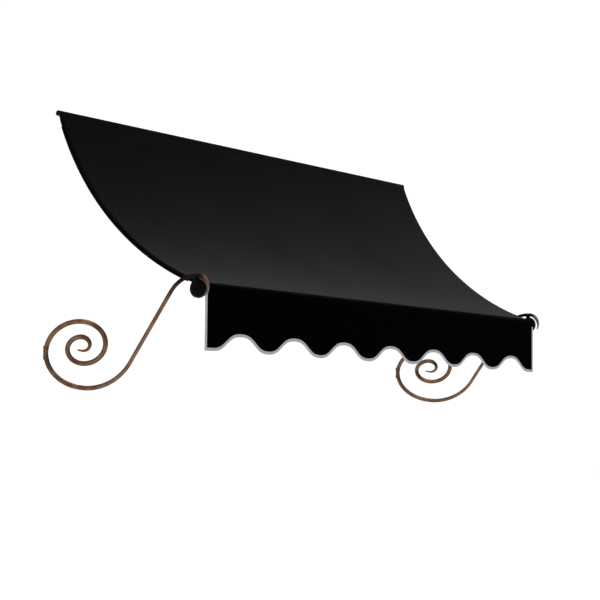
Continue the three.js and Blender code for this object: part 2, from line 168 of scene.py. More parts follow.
def loft(rings: np.ndarray, closed: bool = False) -> tuple[np.ndarray, list]:
    """Joins rings of corners into a skin.

    Args:
        rings: An array of rings by corners by 3.
        closed: Whether the last ring joins the first. Otherwise both ends get a flat face.

    Returns:
        The corners and the faces.
    """
    count, around = rings.shape[:2]
    faces = []
    for i in range(count if closed else count - 1):
        here, there = i * around, ((i + 1) % count) * around
        for j in range(around):
            k = (j + 1) % around
            faces.append((here + j, here + k, there + k, there + j))
    if not closed:
        faces.append(tuple(range(around)))
        faces.append(tuple(reversed(range((count - 1) * around, count * around))))
    return rings.reshape(-1, 3), faces


def turned(profile: list[tuple[float, float]], segments: int) -> tuple[np.ndarray, list]:
    """Turns a profile about the Z axis.

    Args:
        profile: Pairs of height and radius, from one end to the other.
        segments: How many flat sides the turned piece has.

    Returns:
        The corners and the faces.
    """
    angles = np.linspace(0, 2 * math.pi, segments, endpoint=False)
    rings = np.array([[(max(r, 0.05) * math.cos(a), max(r, 0.05) * math.sin(a), z) for a in angles]
                      for z, r in profile])
    return loft(rings)


def placed(corners: np.ndarray, matrix: Matrix) -> np.ndarray:
    """Moves corners by a matrix."""
    rows = np.array(matrix)
    return corners @ rows[:3, :3].T + rows[:3, 3]


def rounded_block(low: tuple[float, float, float], high: tuple[float, float, float], bevel: float,
                  segments: int = 3) -> bpy.types.Object:
    """Makes a block with rounded edges, as a piece to join or cut with.

    Args:
        low: The lowest corner.
        high: The highest corner.
        bevel: The radius of the edges.
        segments: Steps in each rounded edge.

    Returns:
        The block.
    """
    (x0, y0, z0), (x1, y1, z1) = low, high
    corners = np.array([(x, y, z) for x in (x0, x1) for y in (y0, y1) for z in (z0, z1)])
    faces = [(0, 1, 3, 2), (4, 6, 7, 5), (0, 4, 5, 1), (2, 3, 7, 6), (0, 2, 6, 4), (1, 5, 7, 3)]
    block = make_mesh("block", corners, faces)
    if bevel > 0:
        shape = bmesh.new()
        shape.from_mesh(block.data)
        bmesh.ops.bevel(shape, geom=shape.edges[:], offset=bevel * MM, segments=segments, profile=0.5,
                        affect="EDGES", clamp_overlap=True)
        shape.to_mesh(block.data)
        shape.free()
    return block


def pin(start: tuple[float, float, float], end: tuple[float, float, float], radius: float,
        segments: int = 32) -> bpy.types.Object:
    """Makes a plain round pin between two points, as a tool to cut a hole with.

    Args:
        start: The middle of one end.
        end: The middle of the other end.
        radius: The pin's radius.
        segments: How many flat sides it has.

    Returns:
        The pin.
    """
    along = Vector(end) - Vector(start)
    corners, faces = turned([(0, radius), (along.length, radius)], segments)
    matrix = Matrix.Translation(Vector(start)) @ along.to_track_quat("Z", "Y").to_matrix().to_4x4()
    return make_mesh("pin", placed(corners, matrix), faces)


def applied(piece: bpy.types.Object) -> bpy.types.Object:
    """Turns a piece with modifiers into a plain mesh and removes the modifiers."""
    depsgraph = bpy.context.evaluated_depsgraph_get()
    fresh = bpy.data.meshes.new_from_object(piece.evaluated_get(depsgraph))
    fresh.name = piece.name
    piece.modifiers.clear()
    piece.data = fresh
    return piece


def carved(piece: bpy.types.Object, add: list[bpy.types.Object] = (), remove: list[bpy.types.Object] = (),
           smooth_angle: float = 35.0) -> bpy.types.Object:
    """Joins other shapes to a piece and cuts shapes out of it.

    Args:
        piece: The piece to work on.
        add: Shapes that become part of it.
        remove: Shapes that are cut away.
        smooth_angle: Edges sharper than this many degrees stay crisp.

    Returns:
        The piece, as a plain mesh. The other shapes are gone.
    """
    for way, tools in (("UNION", add), ("DIFFERENCE", remove)):
        for tool in tools:
            step = piece.modifiers.new("carve", "BOOLEAN")
            step.operation = way
            step.solver = "EXACT"
            step.object = tool
            applied(piece)
            bpy.data.objects.remove(tool)
    piece.data.shade_smooth()
    piece.data.set_sharp_from_angle(angle=math.radians(smooth_angle))
    return piece


def finish_piece(piece: bpy.types.Object, name: str, material: bpy.types.Material,
                 replaced: list[str] = ()) -> bpy.types.Object:
    """Names a piece, gives it its one material and ties it to the frame.

    Args:
        piece: The finished mesh, at the origin.
        name: Its name.
        material: Its material.
        replaced: The CAD nodes that it stands for.

    Returns:
        The piece.
    """
    piece.name = name
    piece.data.name = name
    piece.data.materials.clear()
    piece.data.materials.append(material)
    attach(piece, BODY)
    if replaced:
        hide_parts(*replaced)
    log.info("%s: %d faces", name, len(piece.data.polygons))
    return piece


# ---------------------------------------------------------------- finishes


@dataclass(frozen=True)
class Finish:
    """What a surface is made of. Subclasses add what the making of it leaves on the surface."""

    name: str
    colour: str
    roughness: float
    metallic: float = 0.0
    ior: float = 1.5
    specular: float = 0.5

    def material(self) -> bpy.types.Material:
        """Returns the material, made once."""
        known = bpy.data.materials.get(self.name)
        if known is not None:
            return known
        material = bpy.data.materials.new(self.name)
        material.use_nodes = True
        tree = material.node_tree
        tree.nodes.clear()
        shader = add_node(tree, "ShaderNodeBsdfPrincipled", inputs={
            "Base Color": linear(self.colour), "Roughness": self.roughness, "Metallic": self.metallic,
            "IOR": self.ior, "Specular IOR Level": self.specular})
        add_node(tree, "ShaderNodeOutputMaterial", inputs={"Surface": shader.outputs["BSDF"]})
        self.dress(tree, shader)
        return material

    def dress(self, tree: bpy.types.NodeTree, shader: bpy.types.Node) -> None:
        """Adds the surface's own pattern to a plain shader."""

    @staticmethod
    def place(tree: bpy.types.NodeTree) -> bpy.types.NodeSocket:
        """Returns the piece's own coordinates, in metres."""
        return add_node(tree, "ShaderNodeTexCoord").outputs["Object"]

    @staticmethod
    def noise(tree: bpy.types.NodeTree, place: bpy.types.NodeSocket, size: float,
              detail: float = 2.0) -> bpy.types.NodeSocket:
        """Returns a noise whose lumps are about as big as a size in millimetres."""
        return add_node(tree, "ShaderNodeTexNoise", inputs={
            "Vector": place, "Scale": 1 / (size * MM), "Detail": detail}).outputs["Fac"]

    @staticmethod
    def tone(tree: bpy.types.NodeTree, amount: bpy.types.NodeSocket,
             stops: list[tuple[float, str]]) -> bpy.types.NodeSocket:
        """Returns a colour that goes through stops as an amount goes from 0 to 1."""
        ramp = add_node(tree, "ShaderNodeValToRGB", inputs={"Fac": amount})
        band = ramp.color_ramp.elements
        while len(band) < len(stops):
            band.new(0.5)
        for element, (at, colour) in zip(band, stops):
            element.position = at
            element.color = linear(colour)
        return ramp.outputs["Color"]

    @staticmethod
    def spread(tree: bpy.types.NodeTree, amount: bpy.types.NodeSocket, low: float,
               high: float) -> bpy.types.NodeSocket:
        """Returns an amount from 0 to 1 spread between two values."""
        return add_node(tree, "ShaderNodeMapRange", inputs={
            "Value": amount, "To Min": low, "To Max": high}).outputs["Result"]

    @staticmethod
    def relief(tree: bpy.types.NodeTree, shader: bpy.types.Node, height: bpy.types.NodeSocket,
               depth: float, strength: float = 1.0) -> None:
        """Raises a height by a depth in millimetres over any relief that the shader already has."""
        socket = shader.inputs["Normal"]
        inputs = {"Height": height, "Distance": depth * MM, "Strength": strength}
        if socket.is_linked:
            inputs["Normal"] = socket.links[0].from_socket
        bump = add_node(tree, "ShaderNodeBump", inputs=inputs)
        tree.links.new(bump.outputs["Normal"], socket)


@dataclass(frozen=True)
class WovenAcrylic(Finish):
    """Solution-dyed acrylic canvas, plain woven: matt black, with a soft bloom at a flat angle.

    The threads lie about 0.5 mm apart, which is too fine to show, so they are drawn coarser.
    """

    thread: float = 1.3
    weave_depth: float = 0.12
    slub: float = 3.0
    slub_length: float = 90.0
    sheen: float = 0.14
    sheen_roughness: float = 0.23
    lighter: str = "#090909"

    def dress(self, tree: bpy.types.NodeTree, shader: bpy.types.Node) -> None:
        """Adds the weave, thicker threads, soft creases and the bloom of fine fibres."""
        shader.inputs["Sheen Weight"].default_value = self.sheen
        shader.inputs["Sheen Roughness"].default_value = self.sheen_roughness
        cut = add_node(tree, "ShaderNodeUVMap", {"uv_map": UV_NAME}).outputs["UV"]
        wave_scale = 2 * math.pi / 20 / (self.thread * MM)
        threads = [add_node(tree, "ShaderNodeTexWave", {"bands_direction": way}, {
            "Vector": cut, "Scale": wave_scale}).outputs["Fac"] for way in ("X", "Y")]
        weave = add_node(tree, "ShaderNodeMath", {"operation": "MULTIPLY"}, {0: threads[0], 1: threads[1]})
        self.relief(tree, shader, weave.outputs["Value"], self.weave_depth)
        slubs = []
        for across, along in ((self.slub, self.slub_length), (self.slub_length, self.slub)):
            stretched = add_node(tree, "ShaderNodeMapping", inputs={
                "Vector": cut, "Scale": (1 / (across * MM), 1 / (along * MM), 1.0)})
            slubs.append(add_node(tree, "ShaderNodeTexNoise", inputs={
                "Vector": stretched.outputs["Vector"], "Scale": 1.0, "Detail": 1.0}).outputs["Fac"])
        both = add_node(tree, "ShaderNodeMath", {"operation": "MULTIPLY"}, {0: slubs[0], 1: slubs[1]})
        self.relief(tree, shader, both.outputs["Value"], 0.1)
        creases = self.noise(tree, cut, 140.0, 3.0)
        self.relief(tree, shader, creases, 1.0, 0.5)
        tree.links.new(self.tone(tree, both.outputs["Value"], [(0.1, self.colour), (0.5, self.lighter)]),
                       shader.inputs["Base Color"])
        tree.links.new(self.spread(tree, creases, self.roughness - 0.05, self.roughness + 0.05),
                       shader.inputs["Roughness"])


@dataclass(frozen=True)
class BraidTape(Finish):
    """Woven polyester braid, folded over the edge: pale grey, with ribs across the tape."""

    rib: float = 1.6
    rib_depth: float = 0.25
    darker: str = "#6a6a6d"

    def dress(self, tree: bpy.types.NodeTree, shader: bpy.types.Node) -> None:
        """Adds the ribs, and a darker colour where the ribs and the fuzz are low."""
        cut = add_node(tree, "ShaderNodeUVMap", {"uv_map": UV_NAME}).outputs["UV"]
        ribs = add_node(tree, "ShaderNodeTexWave", {"bands_direction": "X"}, {
            "Vector": cut, "Scale": 2 * math.pi / 20 / (self.rib * MM), "Distortion": 0.4,
            "Detail Scale": 2.0}).outputs["Fac"]
        fuzz = self.noise(tree, self.place(tree), 2.5, 3.0)
        self.relief(tree, shader, ribs, self.rib_depth)
        self.relief(tree, shader, fuzz, 0.1)
        height = add_node(tree, "ShaderNodeMath", {"operation": "MULTIPLY_ADD"}, {0: ribs, 1: 0.6, 2: fuzz})
        tree.links.new(self.tone(tree, height.outputs["Value"], [(0.25, self.darker), (0.9, self.colour)]),
                       shader.inputs["Base Color"])


@dataclass(frozen=True)
class SewingThread(Finish):
    """Bonded polyester thread, twisted: each stitch has a slight gloss."""

    twist: float = 0.6

    def dress(self, tree: bpy.types.NodeTree, shader: bpy.types.Node) -> None:
        """Adds the strands of the thread."""
        strands = self.noise(tree, self.place(tree), self.twist, 1.0)
        self.relief(tree, shader, strands, 0.1)
        tree.links.new(self.spread(tree, strands, self.roughness - 0.1, self.roughness + 0.1),
                       shader.inputs["Roughness"])


@dataclass(frozen=True)
class PowderCoat(Finish):
    """Powder coat baked on steel: satin, with the fine orange peel of melted powder."""

    peel: float = 1.8
    peel_depth: float = 0.05
    dust: str = "#2a2a2c"

    def dress(self, tree: bpy.types.NodeTree, shader: bpy.types.Node) -> None:
        """Adds orange peel, and a faint unevenness of tone and gloss."""
        place = self.place(tree)
        peel = self.noise(tree, place, self.peel, 1.0)
        cloud = self.noise(tree, place, 35.0, 3.0)
        self.relief(tree, shader, peel, self.peel_depth)
        tree.links.new(self.tone(tree, cloud, [(0.35, self.colour), (0.8, self.dust)]),
                       shader.inputs["Base Color"])
        tree.links.new(self.spread(tree, cloud, self.roughness - 0.08, self.roughness + 0.08),
                       shader.inputs["Roughness"])


@dataclass(frozen=True)
class AgedBronze(Finish):
    """Forged steel bar in a brushed bronze lacquer: brown with random darker and lighter patches, lightly hammered,
    with a painted shade over the top and back of the hook.
    """

    hammer: float = 14.0
    hammer_depth: float = 0.25
    dark: str = "#4a3628"
    worn: str = "#6e5643"
    grazing: str = "#2c2019"
    # Painted shade over the top and back of the hook: its colour, and the heights and depths over which it fades in.
    burnt: str = "#1c110f"
    burnt_height: tuple[float, float] = (-600.0, -540.0)
    burnt_depth: tuple[float, float] = (-652.0, -630.0)

    def dress(self, tree: bpy.types.NodeTree, shader: bpy.types.Node) -> None:
        """Adds hammer marks, fine scale, rubbed patches, and a painted shade that darkens the colour over the top and
        back of the hook.
        """
        shader.inputs["Specular Tint"].default_value = linear(self.grazing)
        place = self.place(tree)
        marks = add_node(tree, "ShaderNodeTexVoronoi", {"feature": "SMOOTH_F1"}, {
            "Vector": place, "Scale": 1 / (self.hammer * MM), "Smoothness": 0.8}).outputs["Distance"]
        scale = self.noise(tree, place, 1.6, 3.0)
        patches = self.noise(tree, place, 40.0, 3.0)
        self.relief(tree, shader, marks, self.hammer_depth)
        self.relief(tree, shader, scale, 0.08)
        bronze = self.tone(tree, patches, [(0.3, self.dark), (0.5, self.colour), (0.75, self.worn)])
        # Painted shade: the colour darkens over the top and back of the hook, masked by height and by depth.
        axes = add_node(tree, "ShaderNodeSeparateXYZ", inputs={"Vector": place}).outputs
        high, back = (add_node(tree, "ShaderNodeMapRange", inputs={
            "Value": axes[axis], "From Min": span[0] * MM, "From Max": span[1] * MM}).outputs["Result"]
            for axis, span in (("Z", self.burnt_height), ("Y", self.burnt_depth)))
        burnt = add_node(tree, "ShaderNodeMath", {"operation": "MULTIPLY"}, {0: high, 1: back})
        mixed = add_node(tree, "ShaderNodeMix", {"data_type": "RGBA"}, {
            "Factor": burnt.outputs["Value"], 6: bronze, 7: linear(self.burnt)})
        tree.links.new(mixed.outputs[2], shader.inputs["Base Color"])
        tree.links.new(self.spread(tree, scale, self.roughness - 0.1, self.roughness + 0.12),
                       shader.inputs["Roughness"])


@dataclass(frozen=True)
class ZincPlate(Finish):
    """Zinc plating with a dark bronze passivation: a thin metal skin with a cloudy gloss."""

    cloudy: str = "#3b342e"

    def dress(self, tree: bpy.types.NodeTree, shader: bpy.types.Node) -> None:
        """Adds the plating's clouds and fine grain."""
        place = self.place(tree)
        clouds = self.noise(tree, place, 3.0, 3.0)
        self.relief(tree, shader, self.noise(tree, place, 0.5, 1.0), 0.02)
        tree.links.new(self.tone(tree, clouds, [(0.3, self.cloudy), (0.6, self.colour)]),
                       shader.inputs["Base Color"])
        tree.links.new(self.spread(tree, clouds, self.roughness - 0.08, self.roughness + 0.12),
                       shader.inputs["Roughness"])


@dataclass(frozen=True)
class MouldedPlastic(Finish):
    """Moulded polyethylene: black, with a fine spark-eroded grain."""

    grain: float = 0.7

    def dress(self, tree: bpy.types.NodeTree, shader: bpy.types.Node) -> None:
        """Adds the grain of the mould."""
        grain = self.noise(tree, self.place(tree), self.grain, 2.0)
        self.relief(tree, shader, grain, 0.04)
        tree.links.new(self.spread(tree, grain, self.roughness - 0.07, self.roughness + 0.07),
                       shader.inputs["Roughness"])


@dataclass(frozen=True)
class StudioFloor(Finish):
    """Matt painted board: white, with a barely visible roller texture."""

    def dress(self, tree: bpy.types.NodeTree, shader: bpy.types.Node) -> None:
        """Adds the roller texture."""
        self.relief(tree, shader, self.noise(tree, self.place(tree), 30.0), 0.3)


COVER_CLOTH = WovenAcrylic("black_woven_acrylic", "#040404", 0.9, specular=0.0)
# The valance is the same cloth as the cover, given darker colours and almost no sheen: painted shade for its hanging
# face, which gets no light from above.
SHADED_VALANCE_CLOTH = WovenAcrylic("clean_black_woven_acrylic", "#010101", 0.9, specular=0.0, sheen=0.015,
                             lighter="#020202")
TAPE = BraidTape("grey_braid_tape", "#89898c", 0.85, specular=0.2)
BLACK_THREAD = SewingThread("black_thread", "#040404", 0.6, specular=0.08)
GREY_THREAD = SewingThread("grey_thread", "#78787c", 0.6, specular=0.2)
FRAME_COAT = PowderCoat("black_powder_coat", "#070707", 0.5, specular=0.2, dust="#101011")
KNOB_COAT = PowderCoat("black_enamel", "#000000", 0.35, specular=0.03, peel_depth=0.03, dust="#010101")
BRONZE_COAT = AgedBronze("aged_bronze_lacquer", "#5c4636", 0.5, metallic=0.9)
ZINC_COAT = ZincPlate("dark_zinc_plate", "#4f463e", 0.45, metallic=1.0)
PLASTIC = MouldedPlastic("black_polyethylene", "#030303", 0.7, specular=0.1)
FLOOR_PAINT = StudioFloor("white_floor", "#fbfbfb", 0.9, specular=0.1)


# ---------------------------------------------------------------- the shape the cloth follows


@dataclass(frozen=True)
class Tube:
    """A round tube along X, by its centre line and radius."""

    y: float
    z: float
    radius: float

    @classmethod
    def of_node(cls, node: str) -> "Tube":
        """Reads a tube's place and radius from its CAD node."""
        low, high = node_box(node)
        middle = (low + high) / 2
        return cls(middle[1], middle[2], (high[2] - low[2]) / 2)

    @property
    def centre(self) -> np.ndarray:
        """The centre line's Y and Z."""
        return np.array((self.y, self.z))


def arc(centre: np.ndarray, radius: float, start: float, end: float, steps: int) -> np.ndarray:
    """Returns points in Y and Z along an arc, from one angle to another."""
    angles = np.linspace(start, end, steps + 1)
    return np.stack((centre[0] + radius * np.cos(angles), centre[1] + radius * np.sin(angles)), axis=1)


def curve(start: np.ndarray, *controls: np.ndarray, steps: int) -> np.ndarray:
    """Returns points along a Bezier curve through its first and last control."""
    points = [np.asarray(p, float) for p in (start, *controls)]
    order = len(points) - 1
    t = np.linspace(0, 1, steps + 1)[:, None]
    return sum(math.comb(order, k) * (1 - t) ** (order - k) * t ** k * p for k, p in enumerate(points))


@dataclass(frozen=True)
class Sweep:
    """The hollow sweep that the cover follows, seen from the side, from the head rod to the front bar."""

    head: Tube
    bar: Tube
    radius: float = 932.0
    layer: float = 1.5
    gap: float = 0.3

    def lies_at(self, tube: Tube) -> float:
        """How far the middle of the cloth lies from a tube's centre."""
        return tube.radius + self.gap + self.layer / 2

    @property
    def centre(self) -> np.ndarray:
        """The centre of the sweep, which is the same distance from the cloth on both tubes."""
        to_head, to_bar = (self.radius + self.lies_at(tube) for tube in (self.head, self.bar))
        across = self.bar.centre - self.head.centre
        length = float(np.linalg.norm(across))
        unit = across / length
        along = (to_head ** 2 - to_bar ** 2 + length ** 2) / (2 * length)
        off = math.sqrt(to_head ** 2 - along ** 2)
        return self.head.centre + unit * along + np.array((unit[1], -unit[0])) * off

    def angle(self, tube: Tube) -> float:
        """The direction from the sweep's centre to a tube."""
        off = tube.centre - self.centre
        return math.atan2(off[1], off[0])


class Route:
    """A line in Y and Z made of named stretches laid end to end."""

    def __init__(self) -> None:
        """Starts an empty route."""
        self.points = np.zeros((0, 2))
        self.rows: dict[str, tuple[int, int]] = {}

    def lay(self, name: str, stretch: np.ndarray) -> None:
        """Adds a stretch that starts where the last one ended."""
        start = max(len(self.points) - 1, 0)
        self.points = np.concatenate((self.points[:start], stretch))
        self.rows[name] = (start, len(self.points) - 1)

    def lengths(self) -> np.ndarray:
        """Returns the distance along the route at each of its points."""
        steps = np.linalg.norm(np.diff(self.points, axis=0), axis=1)
        return np.concatenate(([0.0], np.cumsum(steps)))


@dataclass
class SheetGrid:
    """A sheet of cloth as a grid of places, with the cells that the cut leaves out."""

    places: np.ndarray
    flat: np.ndarray
    present: np.ndarray
    normals: np.ndarray = field(init=False)

    def __post_init__(self) -> None:
        """Works out the direction that each place of the cloth faces."""
        p = self.places
        face = np.cross(p[1:, 1:] - p[:-1, :-1], p[:-1, 1:] - p[1:, :-1]) * self.present[..., None]
        total = np.zeros_like(p)
        for down in (slice(None, -1), slice(1, None)):
            for across in (slice(None, -1), slice(1, None)):
                total[down, across] += face
        self.normals = total / np.maximum(np.linalg.norm(total, axis=2, keepdims=True), 1e-9)

    def area(self) -> float:
        """Returns the flat area of the cells, in square metres."""
        p = self.places
        face = np.cross(p[1:, 1:] - p[:-1, :-1], p[:-1, 1:] - p[1:, :-1]) * self.present[..., None]
        return float(np.linalg.norm(face, axis=2).sum() / 2) * MM * MM

    def closed(self, name: str, thickness: float) -> bpy.types.Object:
        """Gives the sheet a thickness and closed edges.

        Args:
            name: The new object's name.
            thickness: The cloth's thickness.

        Returns:
            The closed sheet.
        """
        rows, columns = self.present.shape
        used = np.zeros(self.places.shape[:2], bool)
        for down in (slice(None, -1), slice(1, None)):
            for across in (slice(None, -1), slice(1, None)):
                used[down, across] |= self.present
        number = np.full(used.shape, -1)
        number[used] = np.arange(used.sum())
        count = int(used.sum())
        half = self.normals[used] * thickness / 2
        corners = np.concatenate((self.places[used] + half, self.places[used] - half))
        faces = []
        for i in range(rows):
            for j in range(columns):
                if not self.present[i, j]:
                    continue
                a, b, c, d = number[i, j], number[i + 1, j], number[i + 1, j + 1], number[i, j + 1]
                faces.append((a, b, c, d))
                faces.append((d + count, c + count, b + count, a + count))
                rim = ((a, b, i, j - 1), (b, c, i + 1, j), (c, d, i, j + 1), (d, a, i - 1, j))
                for start, end, row, column in rim:
                    inside = 0 <= row < rows and 0 <= column < columns and self.present[row, column]
                    if not inside:
                        faces.append((end, start, start + count, end + count))
        uv = np.concatenate((self.flat[used], self.flat[used])) * MM
        return make_mesh(name, corners, faces, uv, smooth_angle=60.0)


# ---------------------------------------------------------------- geometry nodes


class InputKind(Enum):
    """The kinds of input that the node trees take."""

    NUMBER = "NodeSocketFloat"
    OBJECT = "NodeSocketObject"
    MATERIAL = "NodeSocketMaterial"


def new_tree(name: str, inputs: dict[str, InputKind]) -> tuple[bpy.types.NodeTree, bpy.types.Node]:
    """Starts a geometry tree with a geometry in and out, and named inputs.

    Args:
        name: The tree's name.
        inputs: The kind of each named input.

    Returns:
        The tree and its group input node.
    """
    tree = bpy.data.node_groups.new(name, "GeometryNodeTree")
    tree.interface.new_socket("Geometry", in_out="INPUT", socket_type="NodeSocketGeometry")
    for label, kind in inputs.items():
        tree.interface.new_socket(label, in_out="INPUT", socket_type=kind.value)
    tree.interface.new_socket("Geometry", in_out="OUTPUT", socket_type="NodeSocketGeometry")
    return tree, add_node(tree, "NodeGroupInput")


def run_tree(host: bpy.types.Object, tree: bpy.types.NodeTree, values: dict) -> bpy.types.Object:
    """Runs a geometry tree on a host object and keeps the result as its plain mesh.

    Args:
        host: The object whose mesh the tree starts from.
        tree: The geometry tree.
        values: A value for each named input.

    Returns:
        The host, with the tree's result as its mesh.
    """
    step = host.modifiers.new(tree.name, "NODES")
    step.node_group = tree
    for item in tree.interface.items_tree:
        if item.in_out == "INPUT" and item.name in values:
            step[item.identifier] = values[item.name]
    return applied(host)


def stitch_tree() -> bpy.types.NodeTree:
    """Builds the tree that lays stitches along seam lines.

    The host's edges are the seams, and its "facing" attribute says which way the cloth faces.
    """
    known = bpy.data.node_groups.get("stitches")
    if known is not None:
        return known
    tree, given = new_tree("stitches", {"Pitch": InputKind.NUMBER, "Length": InputKind.NUMBER,
                                        "Width": InputKind.NUMBER, "Height": InputKind.NUMBER,
                                        "Material": InputKind.MATERIAL})
    seam = add_node(tree, "GeometryNodeMeshToCurve", inputs={"Mesh": given.outputs["Geometry"]})
    spaced = add_node(tree, "GeometryNodeResampleCurve", {"mode": "LENGTH"}, {
        "Curve": seam.outputs["Curve"], "Length": given.outputs["Pitch"]})
    facing = add_node(tree, "GeometryNodeInputNamedAttribute", {"data_type": "FLOAT_VECTOR"}, {
        "Name": "facing"}).outputs["Attribute"]
    upright = add_node(tree, "FunctionNodeAlignRotationToVector", {"axis": "Z"}, {"Vector": facing})
    along = add_node(tree, "GeometryNodeInputTangent").outputs["Tangent"]
    lined_up = add_node(tree, "FunctionNodeAlignRotationToVector", {"axis": "X", "pivot_axis": "Z"}, {
        "Rotation": upright.outputs["Rotation"], "Vector": along})
    size = add_node(tree, "ShaderNodeCombineXYZ", inputs={
        "X": given.outputs["Length"], "Y": given.outputs["Width"], "Z": given.outputs["Height"]})
    bead = add_node(tree, "GeometryNodeMeshIcoSphere", inputs={"Radius": 0.5, "Subdivisions": 1})
    laid = add_node(tree, "GeometryNodeInstanceOnPoints", inputs={
        "Points": spaced.outputs["Curve"], "Instance": bead.outputs["Mesh"],
        "Rotation": lined_up.outputs["Rotation"], "Scale": size.outputs["Vector"]})
    real = add_node(tree, "GeometryNodeRealizeInstances", inputs={"Geometry": laid.outputs["Instances"]})
    dressed = add_node(tree, "GeometryNodeSetMaterial", inputs={
        "Geometry": real.outputs["Geometry"], "Material": given.outputs["Material"]})
    add_node(tree, "NodeGroupOutput", inputs={"Geometry": dressed.outputs["Geometry"]})
    return tree


def fastener_tree() -> bpy.types.NodeTree:
    """Builds the tree that puts one fastener on each of the host's points, turned a little at random."""
    known = bpy.data.node_groups.get("fasteners")
    if known is not None:
        return known
    tree, given = new_tree("fasteners", {"Fastener": InputKind.OBJECT, "Turn": InputKind.NUMBER,
                                         "Material": InputKind.MATERIAL})
    model = add_node(tree, "GeometryNodeObjectInfo", inputs={"Object": given.outputs["Fastener"]})
    along = add_node(tree, "GeometryNodeInputNamedAttribute", {"data_type": "FLOAT_VECTOR"}, {
        "Name": "facing"}).outputs["Attribute"]
    aimed = add_node(tree, "FunctionNodeAlignRotationToVector", {"axis": "Z"}, {"Vector": along})
    turn = add_node(tree, "FunctionNodeRandomValue", {"data_type": "FLOAT"}, {
        2: 0.0, 3: given.outputs["Turn"], "Seed": 7})
    spin = add_node(tree, "FunctionNodeAxisAngleToRotation", inputs={
        "Axis": (0.0, 0.0, 1.0), "Angle": turn.outputs[1]})
    rotation = add_node(tree, "FunctionNodeRotateRotation", {"rotation_space": "LOCAL"}, {
        "Rotation": aimed.outputs["Rotation"], "Rotate By": spin.outputs["Rotation"]})
    laid = add_node(tree, "GeometryNodeInstanceOnPoints", inputs={
        "Points": given.outputs["Geometry"], "Instance": model.outputs["Geometry"],
        "Rotation": rotation.outputs["Rotation"]})
    real = add_node(tree, "GeometryNodeRealizeInstances", inputs={"Geometry": laid.outputs["Instances"]})
    dressed = add_node(tree, "GeometryNodeSetMaterial", inputs={
        "Geometry": real.outputs["Geometry"], "Material": given.outputs["Material"]})
    add_node(tree, "NodeGroupOutput", inputs={"Geometry": dressed.outputs["Geometry"]})
    return tree


def host_mesh(name: str, lines: list[tuple[np.ndarray, np.ndarray]], joined: bool) -> bpy.types.Object:
    """Makes the points or lines that a geometry tree works on.

    Args:
        name: The host's name.
        lines: For each line, its points in millimetres and the way the surface faces at each.
        joined: Whether the points of a line are joined by edges.

    Returns:
        The host, with a "facing" attribute on its points.
    """
    mesh = bpy.data.meshes.new(name)
    corners, facing, edges = [], [], []
    for points, normals in lines:
        first = len(corners)
        corners.extend(np.asarray(points, float) * MM)
        facing.extend(normals)
        if joined:
            edges.extend((k, k + 1) for k in range(first, len(corners) - 1))
    mesh.from_pydata([tuple(c) for c in corners], edges, [])
    attribute = mesh.attributes.new("facing", "FLOAT_VECTOR", "POINT")
    attribute.data.foreach_set("vector", np.asarray(facing, float).ravel())
    host = bpy.data.objects.new(name, mesh)
    bpy.context.scene.collection.objects.link(host)
    return host


@dataclass(frozen=True)
class Stitching:
    """Lockstitches: their spacing and the size of each."""

    pitch: float = 4.2
    length: float = 3.2
    width: float = 0.7
    height: float = 0.5

    def sewn(self, name: str, lines: list[tuple[np.ndarray, np.ndarray]], thread: Finish) -> bpy.types.Object:
        """Sews stitches along seam lines.

        Args:
            name: The new piece's name.
            lines: For each seam, its points and the way the cloth faces at each.
            thread: The thread's finish.

        Returns:
            The stitches, as one piece.
        """
        host = host_mesh(name, lines, joined=True)
        run_tree(host, stitch_tree(), {
            "Pitch": self.pitch * MM, "Length": self.length * MM, "Width": self.width * MM,
            "Height": self.height * MM, "Material": thread.material()})
        host.data.shade_smooth()
        return finish_piece(host, name, thread.material())


# ---------------------------------------------------------------- cover


